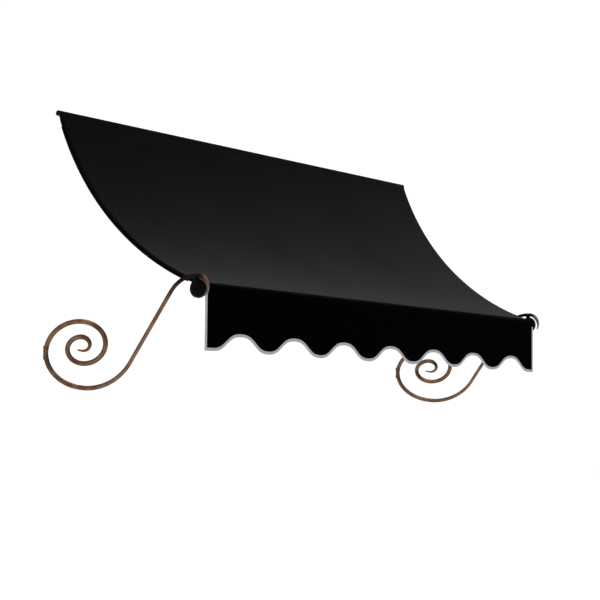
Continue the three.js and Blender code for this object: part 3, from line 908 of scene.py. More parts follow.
@dataclass
class Cover:
    """The awning's top: one cloth with pockets at the head rod and front bar, and sleeves at the sides."""

    sweep: Sweep
    width: float
    rib_xs: list[float]
    bracket_xs: list[float]
    thickness: float = 1.0
    head_pocket: float = 22.0
    bar_pocket: float = 30.0
    hem: float = 28.0
    hem_gap: float = 0.25
    side_rib: float = 7.7
    side_pocket: float = 18.0
    side_hem: float = 20.0
    sleeve_from: float = 52.0
    sleeve_to: float = 62.0
    curl_ramp: float = 16.0
    bracket_notch: float = 15.0
    rib_notch: float = 9.0
    lift: float = 2.0
    ripple: float = 0.25
    column_step: float = 10.0
    sweep_rows: int = 72

    def route(self) -> Route:
        """Returns the cloth's line from the inside hem at the head to the inside hem at the front."""
        s, c = self.sweep, self.sweep.centre
        under = s.radius + self.thickness + self.hem_gap
        route = Route()
        head_at, bar_at = s.angle(s.head), s.angle(s.bar)

        def tangent(tube: Tube, stitch: np.ndarray, way: int) -> float:
            off = stitch - tube.centre
            reach = float(np.linalg.norm(off))
            return math.atan2(off[1], off[0]) + way * math.acos(s.lies_at(tube) / reach)

        seam = head_at - self.head_pocket / s.radius
        hem_end = seam - self.hem / s.radius
        corner = arc(c, under, seam, seam, 0)[0]
        start = tangent(s.head, corner, 1) % (2 * math.pi)
        ring_start = arc(s.head.centre, s.lies_at(s.head), start, start, 0)[0]
        off_corner = corner + (ring_start - corner) * 0.2
        before_corner = arc(c, under, seam - 3 / s.radius, seam - 3 / s.radius, 0)[0]
        route.lay("head_hem", arc(c, under, hem_end, seam - 3 / s.radius, 4))
        route.lay("head_bend", curve(before_corner, corner, off_corner, steps=3))
        route.lay("head_line", curve(off_corner, ring_start, steps=3))
        route.lay("head_ring", arc(s.head.centre, s.lies_at(s.head), start, head_at + 3 * math.pi, 20))
        route.lay("sweep", arc(c, s.radius, head_at, bar_at, self.sweep_rows))
        seam = bar_at + self.bar_pocket / s.radius
        hem_end = seam + self.hem / s.radius
        corner = arc(c, under, seam, seam, 0)[0]
        end = tangent(s.bar, corner, -1) % (2 * math.pi)
        ring_end = arc(s.bar.centre, s.lies_at(s.bar), end, end, 0)[0]
        off_corner = corner + (ring_end - corner) * 0.15
        after_corner = arc(c, under, seam + 3 / s.radius, seam + 3 / s.radius, 0)[0]
        route.lay("bar_ring", arc(s.bar.centre, s.lies_at(s.bar), bar_at + math.pi, end, 22))
        route.lay("bar_line", curve(ring_end, off_corner, steps=3))
        route.lay("bar_bend", curve(off_corner, corner, after_corner, steps=3))
        route.lay("bar_hem", arc(c, under, seam + 3 / s.radius, hem_end, 4))
        return route

    def columns(self) -> tuple[np.ndarray, np.ndarray]:
        """Returns the cut's lines across the width: the flat x of each, and its way into a side sleeve.

        The second number is 0 on the open cloth, goes from 0 to 1 over the edge that is flat at the pockets,
        and on from 1 round the rib and back under the cloth.
        """
        half = self.width / 2
        marks = {-half + 8, half - 8, -half + 18, half - 18}
        for x in self.bracket_xs:
            marks |= {x - self.bracket_notch, x + self.bracket_notch}
        for x in self.rib_xs[1:-1]:
            marks |= {x - self.rib_notch, x + self.rib_notch}
        marks = sorted(marks)
        flat = [marks[0]]
        for start, end in zip(marks, marks[1:]):
            steps = max(1, round((end - start) / self.column_step))
            flat.extend(np.linspace(start, end, steps + 1)[1:])
        turn = np.concatenate((np.linspace(0.2, 1.0, 5), np.linspace(1.125, 3.0, 16)))
        edge = half - 8 + np.minimum(turn, 1.0) * 8 + np.maximum(turn - 1, 0) * 24
        x = np.concatenate((-edge[::-1], flat, edge))
        into = np.concatenate((turn[::-1], np.zeros(len(flat)), turn))
        return x, into

    def sleeve(self, into: np.ndarray) -> tuple[np.ndarray, np.ndarray]:
        """Returns how far out from the rib's middle, and how deep, the side sleeve's cloth lies.

        Args:
            into: How far each line is into the sleeve, from 0 on top of the rib to 3 at the hem's end.

        Returns:
            The distance outwards and the depth below the cloth's middle, for each line.
        """
        r, under = self.side_rib, self.thickness + self.hem_gap
        quarter = np.radians(100)
        off = math.hypot(self.side_pocket, r - under)
        last = 2 * math.pi - math.atan2(self.side_pocket, r - under) - math.acos(r / off)
        turn = np.interp(into, (0, 1, 2), (0, quarter, last))
        out, deep = r * np.sin(turn), r * (1 - np.cos(turn))
        line = np.clip((into - 2) / 0.5, 0, 1)
        hem = np.clip((into - 2.5) / 0.5, 0, 1)
        out = out + (-self.side_pocket - r * math.sin(last)) * line - self.side_hem * hem
        deep = deep + (under - r * (1 - math.cos(last))) * line
        return out, deep

    def grid(self) -> SheetGrid:
        """Lays the cloth out over the frame."""
        route = self.route()
        x_flat, into = self.columns()
        run = route.lengths()
        first, last = route.rows["sweep"]
        along = run - run[first]
        total = run[last] - run[first]
        off = route.points - self.sweep.centre
        below = off / np.linalg.norm(off, axis=1, keepdims=True)
        row_index = np.arange(len(run))
        on_sweep = (row_index >= first) & (row_index <= last)
        from_end = np.minimum(along, total - along)
        curl = np.where(on_sweep, np.clip((from_end - 6) / self.curl_ramp, 0, 1), 0.0)
        curl = curl * curl * (3 - 2 * curl)

        out, deep = self.sleeve(into)
        side = np.sign(x_flat)
        wrapped_x = np.where(into > 0, side * (self.width / 2 - 8 + out), x_flat)
        wrapped_deep = np.where(into > 0, deep, 0.0)
        capped_x = np.clip(x_flat, -self.width / 2, self.width / 2)
        x = capped_x[None, :] * (1 - curl[:, None]) + wrapped_x[None, :] * curl[:, None]
        depth = wrapped_deep[None, :] * curl[:, None]

        ends = np.array(self.rib_xs)
        span = np.clip(np.searchsorted(ends, capped_x) - 1, 0, len(ends) - 2)
        between = np.clip((capped_x - ends[span]) / (ends[span + 1] - ends[span]), 0, 1)
        bow = np.sin(math.pi * np.clip(along / total, 0, 1))
        swell = self.lift * np.outer(bow, np.sin(math.pi * between) ** 2)
        swell += self.ripple * np.outer(bow, np.ones(len(x_flat))) * self.rippling(capped_x, along)
        depth = depth - np.where(into[None, :] > 1, 0.0, swell)

        places = np.stack((x, route.points[:, :1] + below[:, :1] * depth,
                           route.points[:, 1:] + below[:, 1:] * depth), axis=2)
        flat = np.stack(np.broadcast_arrays(x_flat[None, :], run[:, None]), axis=2)
        return SheetGrid(places, flat, self.cut(route, x_flat, into, along, total))

    @staticmethod
    def rippling(x: np.ndarray, along: np.ndarray) -> np.ndarray:
        """Returns slow uneven waves over the cloth, between about -1 and 1, the same on every run."""
        waves = ((0.011, 0.006, 0.4), (0.019, -0.011, 1.7), (-0.007, 0.021, 3.1), (0.031, 0.017, 5.2))
        total = np.zeros((len(along), len(x)))
        for across, down, start in waves:
            total += np.sin(across * x[None, :] + down * along[:, None] + start) / len(waves)
        return total * 1.6

    def cut(self, route: Route, x: np.ndarray, into: np.ndarray, along: np.ndarray,
            total: float) -> np.ndarray:
        """Returns which cells of the grid the cut keeps: not the notches, nor sleeves beside the pockets."""
        rows, columns = len(along) - 1, len(x) - 1
        middle_x = (x[1:] + x[:-1]) / 2
        middle_into = np.maximum(into[1:], into[:-1])
        middle_row = (along[1:] + along[:-1]) / 2
        present = np.ones((rows, columns), bool)
        sleeve_rows = (middle_row > self.sleeve_from) & (middle_row < total - self.sleeve_to)
        present[np.ix_(~sleeve_rows, middle_into > 1.01)] = False
        head_start = route.rows["head_bend"][0]
        hem_start = route.rows["head_hem"][0]
        ring_first, ring_last = route.rows["head_ring"]
        clear = ring_first + round((ring_last - ring_first) * 0.52)
        near_bracket = np.min(np.abs(middle_x[:, None] - np.array(self.bracket_xs)), axis=1)
        present[head_start:clear, near_bracket < self.bracket_notch] = False
        near_rib = np.min(np.abs(middle_x[:, None] - np.array(self.rib_xs[1:-1])), axis=1)
        at_rib = (near_rib < self.rib_notch) | (np.abs(middle_x) > self.width / 2 - 18)
        present[hem_start:ring_first + 1, at_rib] = False
        ring_first, ring_last = route.rows["bar_ring"]
        present[ring_last - 2:, at_rib] = False
        return present

    def seams(self, grid: SheetGrid) -> list[tuple[np.ndarray, np.ndarray]]:
        """Returns the seam lines over the pockets' hems and the side sleeves', on both faces of the cloth."""
        route = self.route()
        run = route.lengths()
        first, last = route.rows["sweep"]
        total = run[last] - run[first]
        x_flat, into = self.columns()
        lines = []

        def across(along: float, inner: float) -> None:
            row = float(np.interp(along + run[first], run, np.arange(len(run))))
            k, part = int(row), row % 1
            keep = np.abs(x_flat) < self.width / 2 - inner
            points = (grid.places[k] * (1 - part) + grid.places[k + 1] * part)[keep]
            normals = (grid.normals[k] * (1 - part) + grid.normals[k + 1] * part)[keep]
            for way, lift in ((1, self.thickness / 2), (-1, self.thickness * 1.5 + self.hem_gap)):
                lines.append((points + normals * way * lift, normals * way))

        for inset in (4.0, 22.0):
            across(self.head_pocket + inset, 24.0)
            across(total - self.bar_pocket - inset, 24.0)
        below = run - run[first]
        rows = np.flatnonzero((below > self.sleeve_from) & (below < total - self.sleeve_to))
        for side in Side:
            for inset in (3.0, 16.0):
                x = side.value * (self.width / 2 - 8 - self.side_pocket - inset)
                column = float(np.interp(x, x_flat[into == 0], np.flatnonzero(into == 0)))
                j, part = int(column), column % 1
                points = grid.places[rows, j] * (1 - part) + grid.places[rows, j + 1] * part
                normals = grid.normals[rows, j]
                for way, lift in ((1, self.thickness / 2), (-1, self.thickness * 1.5 + self.hem_gap)):
                    lines.append((points + normals * way * lift, normals * way))
        return lines

    def build(self) -> None:
        grid = self.grid()
        sheet = grid.closed("cover_cloth", self.thickness)
        cloth = finish_piece(sheet, "cover_cloth", COVER_CLOTH.material(),
                             ["canopy_cover"])
        stitches = Stitching().sewn("cover_stitching", self.seams(grid), BLACK_THREAD)
        route_length = self.route().lengths()[-1] * MM
        cut_width = float(grid.flat[..., 0].max() - grid.flat[..., 0].min()) * MM
        round(grid.area(), 3)
        log.info("cover: cut %.3f by %.3f m, %.3f m2", cut_width, route_length, grid.area())


# ---------------------------------------------------------------- valance


@dataclass
class Valance:
    """The strip that hangs from the front pocket, with its scalloped edge bound in braid."""

    sweep: Sweep
    width: float
    bottom: float
    thickness: float = 1.0
    scallops: int = 7
    depth: float = 48.0
    end_flat: float = 35.0
    flatten: float = 0.16
    column_steps: int = 36
    drop_rows: int = 18
    top_angle: float = 113.5
    tape_width: float = 9.0
    tape_layer: float = 0.6
    tape_gap: float = 0.15
    tape_top: float = 9.0
    sway: float = 1.6

    @property
    def hang_radius(self) -> float:
        """How far the middle of the valance lies from the front bar's centre."""
        return self.sweep.bar.radius + 2 * self.sweep.gap + 1.5 * self.sweep.layer

    @property
    def hang_y(self) -> float:
        """Where the valance hangs."""
        return self.sweep.bar.y - self.hang_radius

    def phase(self, x: np.ndarray) -> np.ndarray:
        """Returns how far along the scallops each x is, in radians, from the middle one's peak."""
        pitch = (self.width - 2 * self.end_flat) / self.scallops
        return np.clip(x / pitch, -self.scallops / 2, self.scallops / 2) * 2 * math.pi

    def edge(self, x: np.ndarray) -> np.ndarray:
        """Returns the height of the scalloped edge at each x, which lies flat at both ends."""
        phase = self.phase(x)
        rise = (1 + np.cos(phase - self.flatten * np.sin(2 * phase))) / 2
        return self.bottom + self.tape_layer + self.sweep.gap + self.depth * rise

    def drift(self, x: np.ndarray, z: np.ndarray) -> np.ndarray:
        """Returns how far the hanging cloth stands forward of its plane, more towards its free edge."""
        free = np.clip((self.sweep.bar.z - z) / (self.sweep.bar.z - self.bottom), 0, 1) ** 1.5
        lobes = np.cos(self.phase(x) + 0.5)
        slow = np.sin(x * 0.0061 + 0.8) + 0.6 * np.sin(x * 0.0143 + 2.0)
        return -free * self.sway * (0.5 * lobes + slow)

    def grid(self) -> SheetGrid:
        """Hangs the cloth from the front bar."""
        columns = self.scallops * self.column_steps
        x = np.linspace(-self.width / 2, self.width / 2, columns + 1)
        wrap = arc(self.sweep.bar.centre, self.hang_radius, math.radians(self.top_angle), math.pi, 8)
        drop = np.linspace(0, 1, self.drop_rows + 1)[1:]
        z = self.sweep.bar.z + (self.edge(x)[None, :] - self.sweep.bar.z) * drop[:, None]
        y = self.hang_y + self.drift(x[None, :], z)
        upper = np.stack((np.broadcast_to(x, (len(wrap), len(x))),
                          np.broadcast_to(wrap[:, :1], (len(wrap), len(x))),
                          np.broadcast_to(wrap[:, 1:], (len(wrap), len(x)))), axis=2)
        lower = np.stack((np.broadcast_to(x, z.shape), y, z), axis=2)
        places = np.concatenate((upper, lower))
        down = np.concatenate((np.zeros((1, len(x))), np.cumsum(
            np.linalg.norm(np.diff(places, axis=0), axis=2), axis=0)))
        flat = np.stack((np.broadcast_to(x, down.shape), down), axis=2)
        return SheetGrid(places, flat, np.ones((len(places) - 1, columns), bool))

    def tape_line(self) -> tuple[np.ndarray, np.ndarray]:
        """Returns the bound edge's points in X and Z, and the way into the cloth, longer at the corners."""
        count = self.scallops * self.column_steps
        x = np.linspace(-self.width / 2, self.width / 2, count + 1)
        slope = np.gradient(self.edge(x), x)
        inward = np.stack((-slope, np.ones_like(x)), axis=1) / np.hypot(slope, 1)[:, None]
        inward[0], inward[-1] = (1, 1), (-1, 1)
        scallop = np.stack((x, self.edge(x)), axis=1)
        top = self.sweep.bar.z - self.tape_top
        heights = np.linspace(top, float(self.edge(x[:1])[0]), 24)[:-1]
        left = np.stack((np.full_like(heights, x[0]), heights), axis=1)
        right = np.stack((np.full_like(heights, x[-1]), heights[::-1]), axis=1)
        points = np.concatenate((left, scallop, right))
        ways = np.concatenate((np.tile((1.0, 0.0), (len(left), 1)), inward,
                               np.tile((-1.0, 0.0), (len(right), 1))))
        return points, ways

    def tape(self) -> bpy.types.Object:
        """Makes the tape folded over the edge."""
        points, ways = self.tape_line()
        inner = self.thickness / 2 + self.tape_gap
        outer = inner + self.tape_layer
        fold = self.tape_layer + self.tape_gap
        bend = np.linspace(-math.pi / 2, math.pi / 2, 7)
        section = [(self.tape_width, -outer + 0.15), (self.tape_width * 0.5, -outer - 0.1), (1.0, -outer)]
        section += [(0.6 - (0.6 + fold) * math.cos(a), outer * math.sin(a)) for a in bend]
        section += [(1.0, outer), (self.tape_width * 0.5, outer + 0.1), (self.tape_width, outer - 0.15)]
        section += [(self.tape_width, inner), (0.5, inner), (0.5, -inner), (self.tape_width, -inner)]
        section = np.array(section)
        x = points[:, None, 0] + ways[:, None, 0] * section[None, :, 0]
        z = points[:, None, 1] + ways[:, None, 1] * section[None, :, 0]
        y = self.hang_y + self.drift(points[:, :1][:, [0] * len(section)], z) + section[None, :, 1]
        corners, faces = loft(np.stack((x, y, z), axis=2))
        run = np.concatenate(([0], np.cumsum(np.linalg.norm(np.diff(points, axis=0), axis=1))))
        uv = np.stack(np.broadcast_arrays(run[:, None], section[None, :, 0]), axis=2).reshape(-1, 2) * MM
        return make_mesh("valance_tape", corners, faces, uv, smooth_angle=60.0)

    def tape_seams(self) -> list[tuple[np.ndarray, np.ndarray]]:
        """Returns the seam along the tape's inner edge, on both faces."""
        points, ways = self.tape_line()
        at = points + ways * (self.tape_width - 1.8)
        lift = self.thickness / 2 + self.tape_gap + self.tape_layer
        lines = []
        for way in (-1, 1):
            y = self.hang_y + self.drift(at[:, 0], at[:, 1]) + way * lift
            normals = np.tile((0.0, float(way), 0.0), (len(at), 1))
            lines.append((np.stack((at[:, 0], y, at[:, 1]), axis=1), normals))
        return lines

    def top_seam(self, grid: SheetGrid) -> list[tuple[np.ndarray, np.ndarray]]:
        """Returns the two seams that hold the valance to the front pocket."""
        return [(grid.places[row, 2:-2] + grid.normals[row, 2:-2] * self.thickness / 2, grid.normals[row, 2:-2])
                for row in (1, 3)]

    def build(self) -> None:
        grid = self.grid()
        cloth = finish_piece(grid.closed("valance_cloth", self.thickness), "valance_cloth",
                             SHADED_VALANCE_CLOTH.material(), ["valance"])
        tape = finish_piece(self.tape(), "valance_tape", TAPE.material(), ["valance_binding"])
        tape_stitches = Stitching(width=0.6).sewn("tape_stitching", self.tape_seams(), GREY_THREAD)
        seam = Stitching().sewn("valance_stitching", self.top_seam(grid), BLACK_THREAD)
        length = float(grid.flat[..., 1].max()) * MM
        round(grid.area(), 3)
        log.info("valance: cut %.3f by %.3f m, %.3f m2", self.width * MM, length, grid.area())


# ---------------------------------------------------------------- steel frame


@dataclass
class Frame:
    """The welded frame inside the cover: head rod, front bar and ribs, with the rod's end plugs."""

    sweep: Sweep
    width: float
    rib_xs: dict[str, float]
    rib_radius: float = 5.5
    rib_gap: float = 0.6
    sides: int = 24

    def rib_end(self, tube: Tube, way: int, lead: float, crank: float, inside: float) -> dict:
        """Works out the bent end of a rib, off the sweep and then straight at a tube's axis.

        Args:
            tube: The tube that the rib ends in.
            way: -1 at the head and 1 at the front.
            lead: How far from the tube the bend starts.
            crank: The bend, in degrees.
            inside: How far past the tube's axis the rib stops short of, or goes.

        Returns:
            The rib's points there and the angle where it leaves the sweep.
        """
        s = self.sweep
        radius = s.radius + s.layer / 2 + self.rib_gap + self.rib_radius
        turn = s.angle(tube) + way * lead / radius
        leave = arc(s.centre, radius, turn, turn, 0)[0]
        heading = turn - way * (math.pi / 2 - math.radians(crank))
        aim = np.array((math.cos(heading), math.sin(heading)))
        onward = np.array((math.cos(turn - way * math.pi / 2), math.sin(turn - way * math.pi / 2)))
        off = tube.centre - leave
        across = onward[0] * aim[1] - onward[1] * aim[0]
        corner = leave + onward * (off[0] * aim[1] - off[1] * aim[0]) / across
        return {"turn": turn, "leave": leave, "corner": corner, "radius": radius,
                "outside": tube.centre - aim * (tube.radius + 3), "end": tube.centre - aim * inside}

    def rib(self, x: float) -> bpy.types.Object:
        """Bends one rib at a place along the width."""
        head = self.rib_end(self.sweep.head, -1, 45.0, 8.0, 4.0)
        foot = self.rib_end(self.sweep.bar, 1, 60.0, 28.0, 6.0)
        route = Route()
        route.lay("head_end", curve(head["end"], head["outside"], steps=2))
        route.lay("head_bend", curve(head["outside"], head["corner"], head["leave"], steps=10))
        route.lay("sweep", arc(self.sweep.centre, head["radius"], head["turn"], foot["turn"], 60))
        route.lay("foot_bend", curve(foot["leave"], foot["corner"], foot["outside"], steps=10))
        route.lay("foot_end", curve(foot["outside"], foot["end"], steps=2))
        rings = swept_bar(route.points, np.full(len(route.points), self.rib_radius), x, self.sides)
        return make_mesh("rib", *loft(rings))

    def build(self) -> None:
        """Makes the ribs and plugs, and smooths the tubes."""
        for place, x in self.rib_xs.items():
            finish_piece(self.rib(x), f"bent_rib_{place}", FRAME_COAT.material(),
                         [f"rib_{place}"])
        for node, name in (("head_rod", "head_tube"), ("front_bar", "front_tube")):
            finish_piece(smooth_copy(node), name, FRAME_COAT.material(), [node])
        for side in Side:
            finish_piece(self.plug(side), f"tube_plug_{side.word}", PLASTIC.material(),
                         [f"head_rod_plug_{side.word}"])

    def plug(self, side: Side) -> bpy.types.Object:
        """Moulds the plug that closes an end of the head rod."""
        low, high = node_box(f"head_rod_plug_{side.word}")
        face = max(abs(low[0]), abs(high[0]))
        end, r, fit = face - 1.5, self.sweep.head.radius, self.sweep.head.radius - 1.9
        profile = [(end - 20, fit - 1.5), (end - 18.5, fit), (end, fit), (end, r - 0.3), (end + 0.3, r),
                   (end + 0.8, r), (end + 1.2, r - 0.4), (face, r - 1.5), (face, 4.0), (face - 0.3, 3.2),
                   (face - 0.3, 0.1)]
        corners, faces = turned(profile, 48)
        return make_mesh("plug", placed(corners, along_x(self.sweep.head, side)), faces)


def along_x(tube: Tube, side: Side) -> Matrix:
    """Returns the matrix that lays a piece turned about Z along a tube's axis, pointing out of one end."""
    return Matrix.Translation((0, tube.y, tube.z)) @ Matrix.Rotation(side.value * math.pi / 2, 4, "Y")


def swept_bar(points: np.ndarray, radii: np.ndarray, x: float, sides: int) -> np.ndarray:
    """Returns the rings of a round bar along a line in a plane across the width.

    Args:
        points: The line's points in Y and Z.
        radii: The bar's radius at each point.
        x: Where the plane is.
        sides: Corners in each ring.

    Returns:
        An array of rings by corners by 3.
    """
    along = np.gradient(points, axis=0)
    along /= np.linalg.norm(along, axis=1, keepdims=True)
    across = np.stack((-along[:, 1], along[:, 0]), axis=1)
    angles = np.linspace(0, 2 * math.pi, sides, endpoint=False)
    out, up = np.cos(angles), np.sin(angles)
    ring_x = x + radii[:, None] * out[None, :]
    ring_y = points[:, :1] + radii[:, None] * up[None, :] * across[:, :1]
    ring_z = points[:, 1:] + radii[:, None] * up[None, :] * across[:, 1:]
    return np.stack((ring_x, ring_y, ring_z), axis=2)


def smooth_copy(node: str, smooth_angle: float = 30.0) -> bpy.types.Object:
    """Returns a copy of a CAD node with its corners merged and its round faces shaded smooth."""
    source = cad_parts[node]
    shape = bmesh.new()
    shape.from_mesh(source.data)
    bmesh.ops.remove_doubles(shape, verts=shape.verts, dist=0.01 * MM)
    mesh = bpy.data.meshes.new(node)
    shape.to_mesh(mesh)
    shape.free()
    mesh.shade_smooth()
    mesh.set_sharp_from_angle(angle=math.radians(smooth_angle))
    copy = bpy.data.objects.new(node + "_copy", mesh)
    bpy.context.scene.collection.objects.link(copy)
    return copy


# ---------------------------------------------------------------- head brackets


@dataclass
class HeadBracket:
    """A wall bracket: a plate with two screws, a web, and a cradle under the head rod."""

    sweep: Sweep
    place: str
    x: float
    wide: float = 50.0
    high: float = 76.0
    plate: float = 4.0
    cradle: float = 24.0
    cradle_wall: float = 3.2
    screw_x: float = 16.0
    screw_z: float = -24.0
    hole: float = 2.8

    def cradle_strip(self) -> bpy.types.Object:
        """Bends the strip that the head rod lies in, with rounded lips."""
        inner = self.sweep.head.radius + self.sweep.gap
        outer = inner + self.cradle_wall
        middle, half = (inner + outer) / 2, self.cradle_wall / 2
        start, end = math.radians(40), math.radians(-157)
        edge = half / middle
        angles = np.concatenate(([start + edge * 0.75, start + edge * 0.35], np.linspace(start, end, 41),
                                 [end - edge * 0.35, end - edge * 0.75]))
        narrow = np.concatenate(([0.45, 0.85], np.ones(41), [0.85, 0.45]))
        soft = 0.6
        section = []
        for sx, sr in ((-1, -1), (1, -1), (1, 1), (-1, 1)):
            order = ((0, soft), (soft, 0)) if sx * sr > 0 else ((soft, 0), (0, soft))
            for cut_x, cut_r in order:
                section.append((sx * (self.cradle / 2 - cut_x), sr * (half - cut_r)))
        rings = []
        for angle, share in zip(angles, narrow):
            for_ring = []
            for x, r in section:
                radius = middle + r * share
                for_ring.append((self.x + x, self.sweep.head.y + radius * math.cos(angle),
                                 self.sweep.head.z + radius * math.sin(angle)))
            rings.append(for_ring)
        return make_mesh("cradle", *loft(np.array(rings)))

    def build(self) -> None:
        """Makes the bracket."""
        x, head = self.x, self.sweep.head
        body = rounded_block((x - self.wide / 2, -self.plate, -self.high / 2),
                             (x + self.wide / 2, 0, self.high / 2), 0.8)
        web = rounded_block((x - self.cradle / 2, head.y + head.radius + 1.5, head.z - 12),
                            (x + self.cradle / 2, -self.plate + 1, head.z + 8), 0.5)
        bed = pin((x - self.wide, head.y, head.z), (x + self.wide, head.y, head.z),
                  head.radius + self.sweep.gap, 64)
        holes = [pin((at, -20, self.screw_z), (at, 10, self.screw_z), self.hole)
                 for at in (x - self.screw_x, x + self.screw_x)]
        rod_hole = pin((x, head.y, head.z - 30), (x, head.y, head.z), self.hole)
        carved(body, [web, self.cradle_strip()], [bed, *holes, rod_hole])
        finish_piece(body, f"wall_bracket_{self.place}", FRAME_COAT.material(),
                     [f"head_bracket_{self.place}"])


# ---------------------------------------------------------------- scroll arms and knobs


@dataclass
class ScrollArm:
    """A forged bar: an oval scroll at the wall, a straight strut, and a hook over the front bar's end."""

    sweep: Sweep
    side: Side
    x: float
    radius: float = 7.9
    strut_radius: float = 6.3
    scroll_y: float = -158.0
    scroll_z: float = -729.9
    scroll_radius: float = 127.9
    rear_stretch: float = 1.48
    front_stretch: float = 1.36
    shrink: float = 1.58
    strut_angle: float = 53.8
    bend: float = 116.0
    hook: float = 40.0
    hook_end: float = 205.0
    curl_from: float = 450.0
    curl_to: float = 600.0
    tighten: float = 0.52
    ease: float = 1.3
    tip_y: float = 17.6
    tip_z: float = -8.3
    drawn_over: float = 260.0
    tip_share: float = 0.3
    tip_run: float = 125.0
    hook_share: float = 0.34
    hook_run: float = 60.0
    pad_z: float = -744.7
    pad_screw: float = 13.0
    bolt_y: float = 4.0
    sides: int = 28

    def scroll_at(self, degrees: np.ndarray | float) -> np.ndarray:
        """Returns points on the scroll, which shrinks by a fixed share each half turn and then curls up."""
        degrees = np.asarray(degrees, float)
        angle = np.radians(degrees)
        curled = np.maximum(0, (degrees - self.curl_from) / 180) ** self.ease
        radius = self.scroll_radius * self.shrink ** (-(degrees + 90) / 180) * (1 - self.tighten * curled)
        stretch = np.where(degrees < -90, self.front_stretch, self.rear_stretch)
        return np.stack((self.scroll_y + stretch * radius * np.cos(angle),
                         self.scroll_z + radius * np.sin(angle)), axis=-1)

    def scroll_end(self) -> float:
        """Returns the angle where the scroll has turned up to the strut's slope."""
        decay = math.log(self.shrink) / math.pi
        slope = math.tan(math.radians(self.strut_angle)) * self.front_stretch
        return -90 - math.degrees(math.atan((slope + decay) / (1 - slope * decay)))

    def route(self) -> Route:
        """Returns the bar's line from the tip inside the scroll to the end of the hook."""
        end = self.scroll_end()
        slope = math.radians(self.strut_angle)
        leave = self.scroll_at(end)
        up = np.array((-math.cos(slope), math.sin(slope)))
        hook = self.sweep.bar.centre
        crown = hook[1] + self.hook
        corner = leave + up * (crown - leave[1]) / up[1]
        tangent = self.bend * math.tan(slope / 2)
        bend_centre = np.array((corner[0] - tangent, crown - self.bend))
        curl = self.scroll_at(self.curl_to)
        aim = curl - self.scroll_at(self.curl_to - 2)
        aim /= np.linalg.norm(aim)
        tip = np.array((self.scroll_y + self.tip_y, self.scroll_z + self.tip_z))
        route = Route()
        route.lay("tip", curve(tip, curl + aim * 14, curl, steps=12))
        route.lay("scroll", self.scroll_at(np.linspace(self.curl_to, end, 260)))
        route.lay("strut", curve(leave, corner - up * tangent, steps=30))
        route.lay("shoulder", arc(bend_centre, self.bend, math.pi / 2 - slope, math.pi / 2, 16))
        route.lay("crown", curve(np.array((bend_centre[0], crown)), np.array((hook[0], crown)), steps=3))
        route.lay("hook", arc(hook, self.hook, math.pi / 2, math.radians(self.hook_end), 36))
        return route

    def radii(self, route: Route) -> np.ndarray:
        """Returns the bar's radius at each point: thick in the scroll, drawn out to both ends."""
        run = route.lengths()
        first, last = route.rows["scroll"]
        thick_until, thin_from = run[last] - self.drawn_over, run[last]
        body = np.interp(run, (thick_until, thin_from), (self.radius, self.strut_radius))
        tip = np.minimum(1, self.tip_share + run / self.tip_run)
        hook = np.minimum(1, self.hook_share + (run[-1] - run) / self.hook_run)
        return body * np.minimum(tip, hook)

    def bar(self) -> bpy.types.Object:
        """Forges the bar with rounded ends."""
        route = self.route()
        points, radii = route.points, self.radii(route)
        for at, beside in ((0, 1), (-1, -2)):
            away = points[at] - points[beside]
            away /= np.linalg.norm(away)
            steps = np.array((0.5, 0.85, 1.0))
            caps = points[at] + away * radii[at] * steps[:, None]
            cap_radii = radii[at] * np.sqrt(1 - (steps * 0.98) ** 2)
            if at == 0:
                points, radii = np.concatenate((caps[::-1], points)), np.concatenate((cap_radii[::-1], radii))
            else:
                points, radii = np.concatenate((points, caps)), np.concatenate((radii, cap_radii))
        return make_mesh("bar", *loft(swept_bar(points, radii, self.x, self.sides)))

    def build(self) -> None:
        """Makes the arm with its wall pad and its holes."""
        pad = rounded_block((self.x - 6.5, -3.5, self.pad_z - 22), (self.x + 6.5, 1, self.pad_z + 22), 0.9)
        tools = []
        for way in (-1, 1):
            z = self.pad_z + way * self.pad_screw
            tools.append(pin((self.x, -40, z), (self.x, 10, z), 2.8))
            tools.append(pin((self.x, -40, z), (self.x, -11.5, z), 5.6))
        behind = rounded_block((self.x - 30, 0, self.pad_z - 120), (self.x + 30, 30, self.pad_z + 120), 0)
        bolt_y = self.sweep.bar.y + self.bolt_y
        crown = self.sweep.bar.z + self.hook
        tools.append(pin((self.x, bolt_y, crown - 12), (self.x, bolt_y, crown + 12), 3.3))
        arm = carved(self.bar(), [pad], [behind, *tools])
        finish_piece(arm, f"forged_arm_{self.side.word}", BRONZE_COAT.material(),
                     [f"scroll_arm_{self.side.word}"])


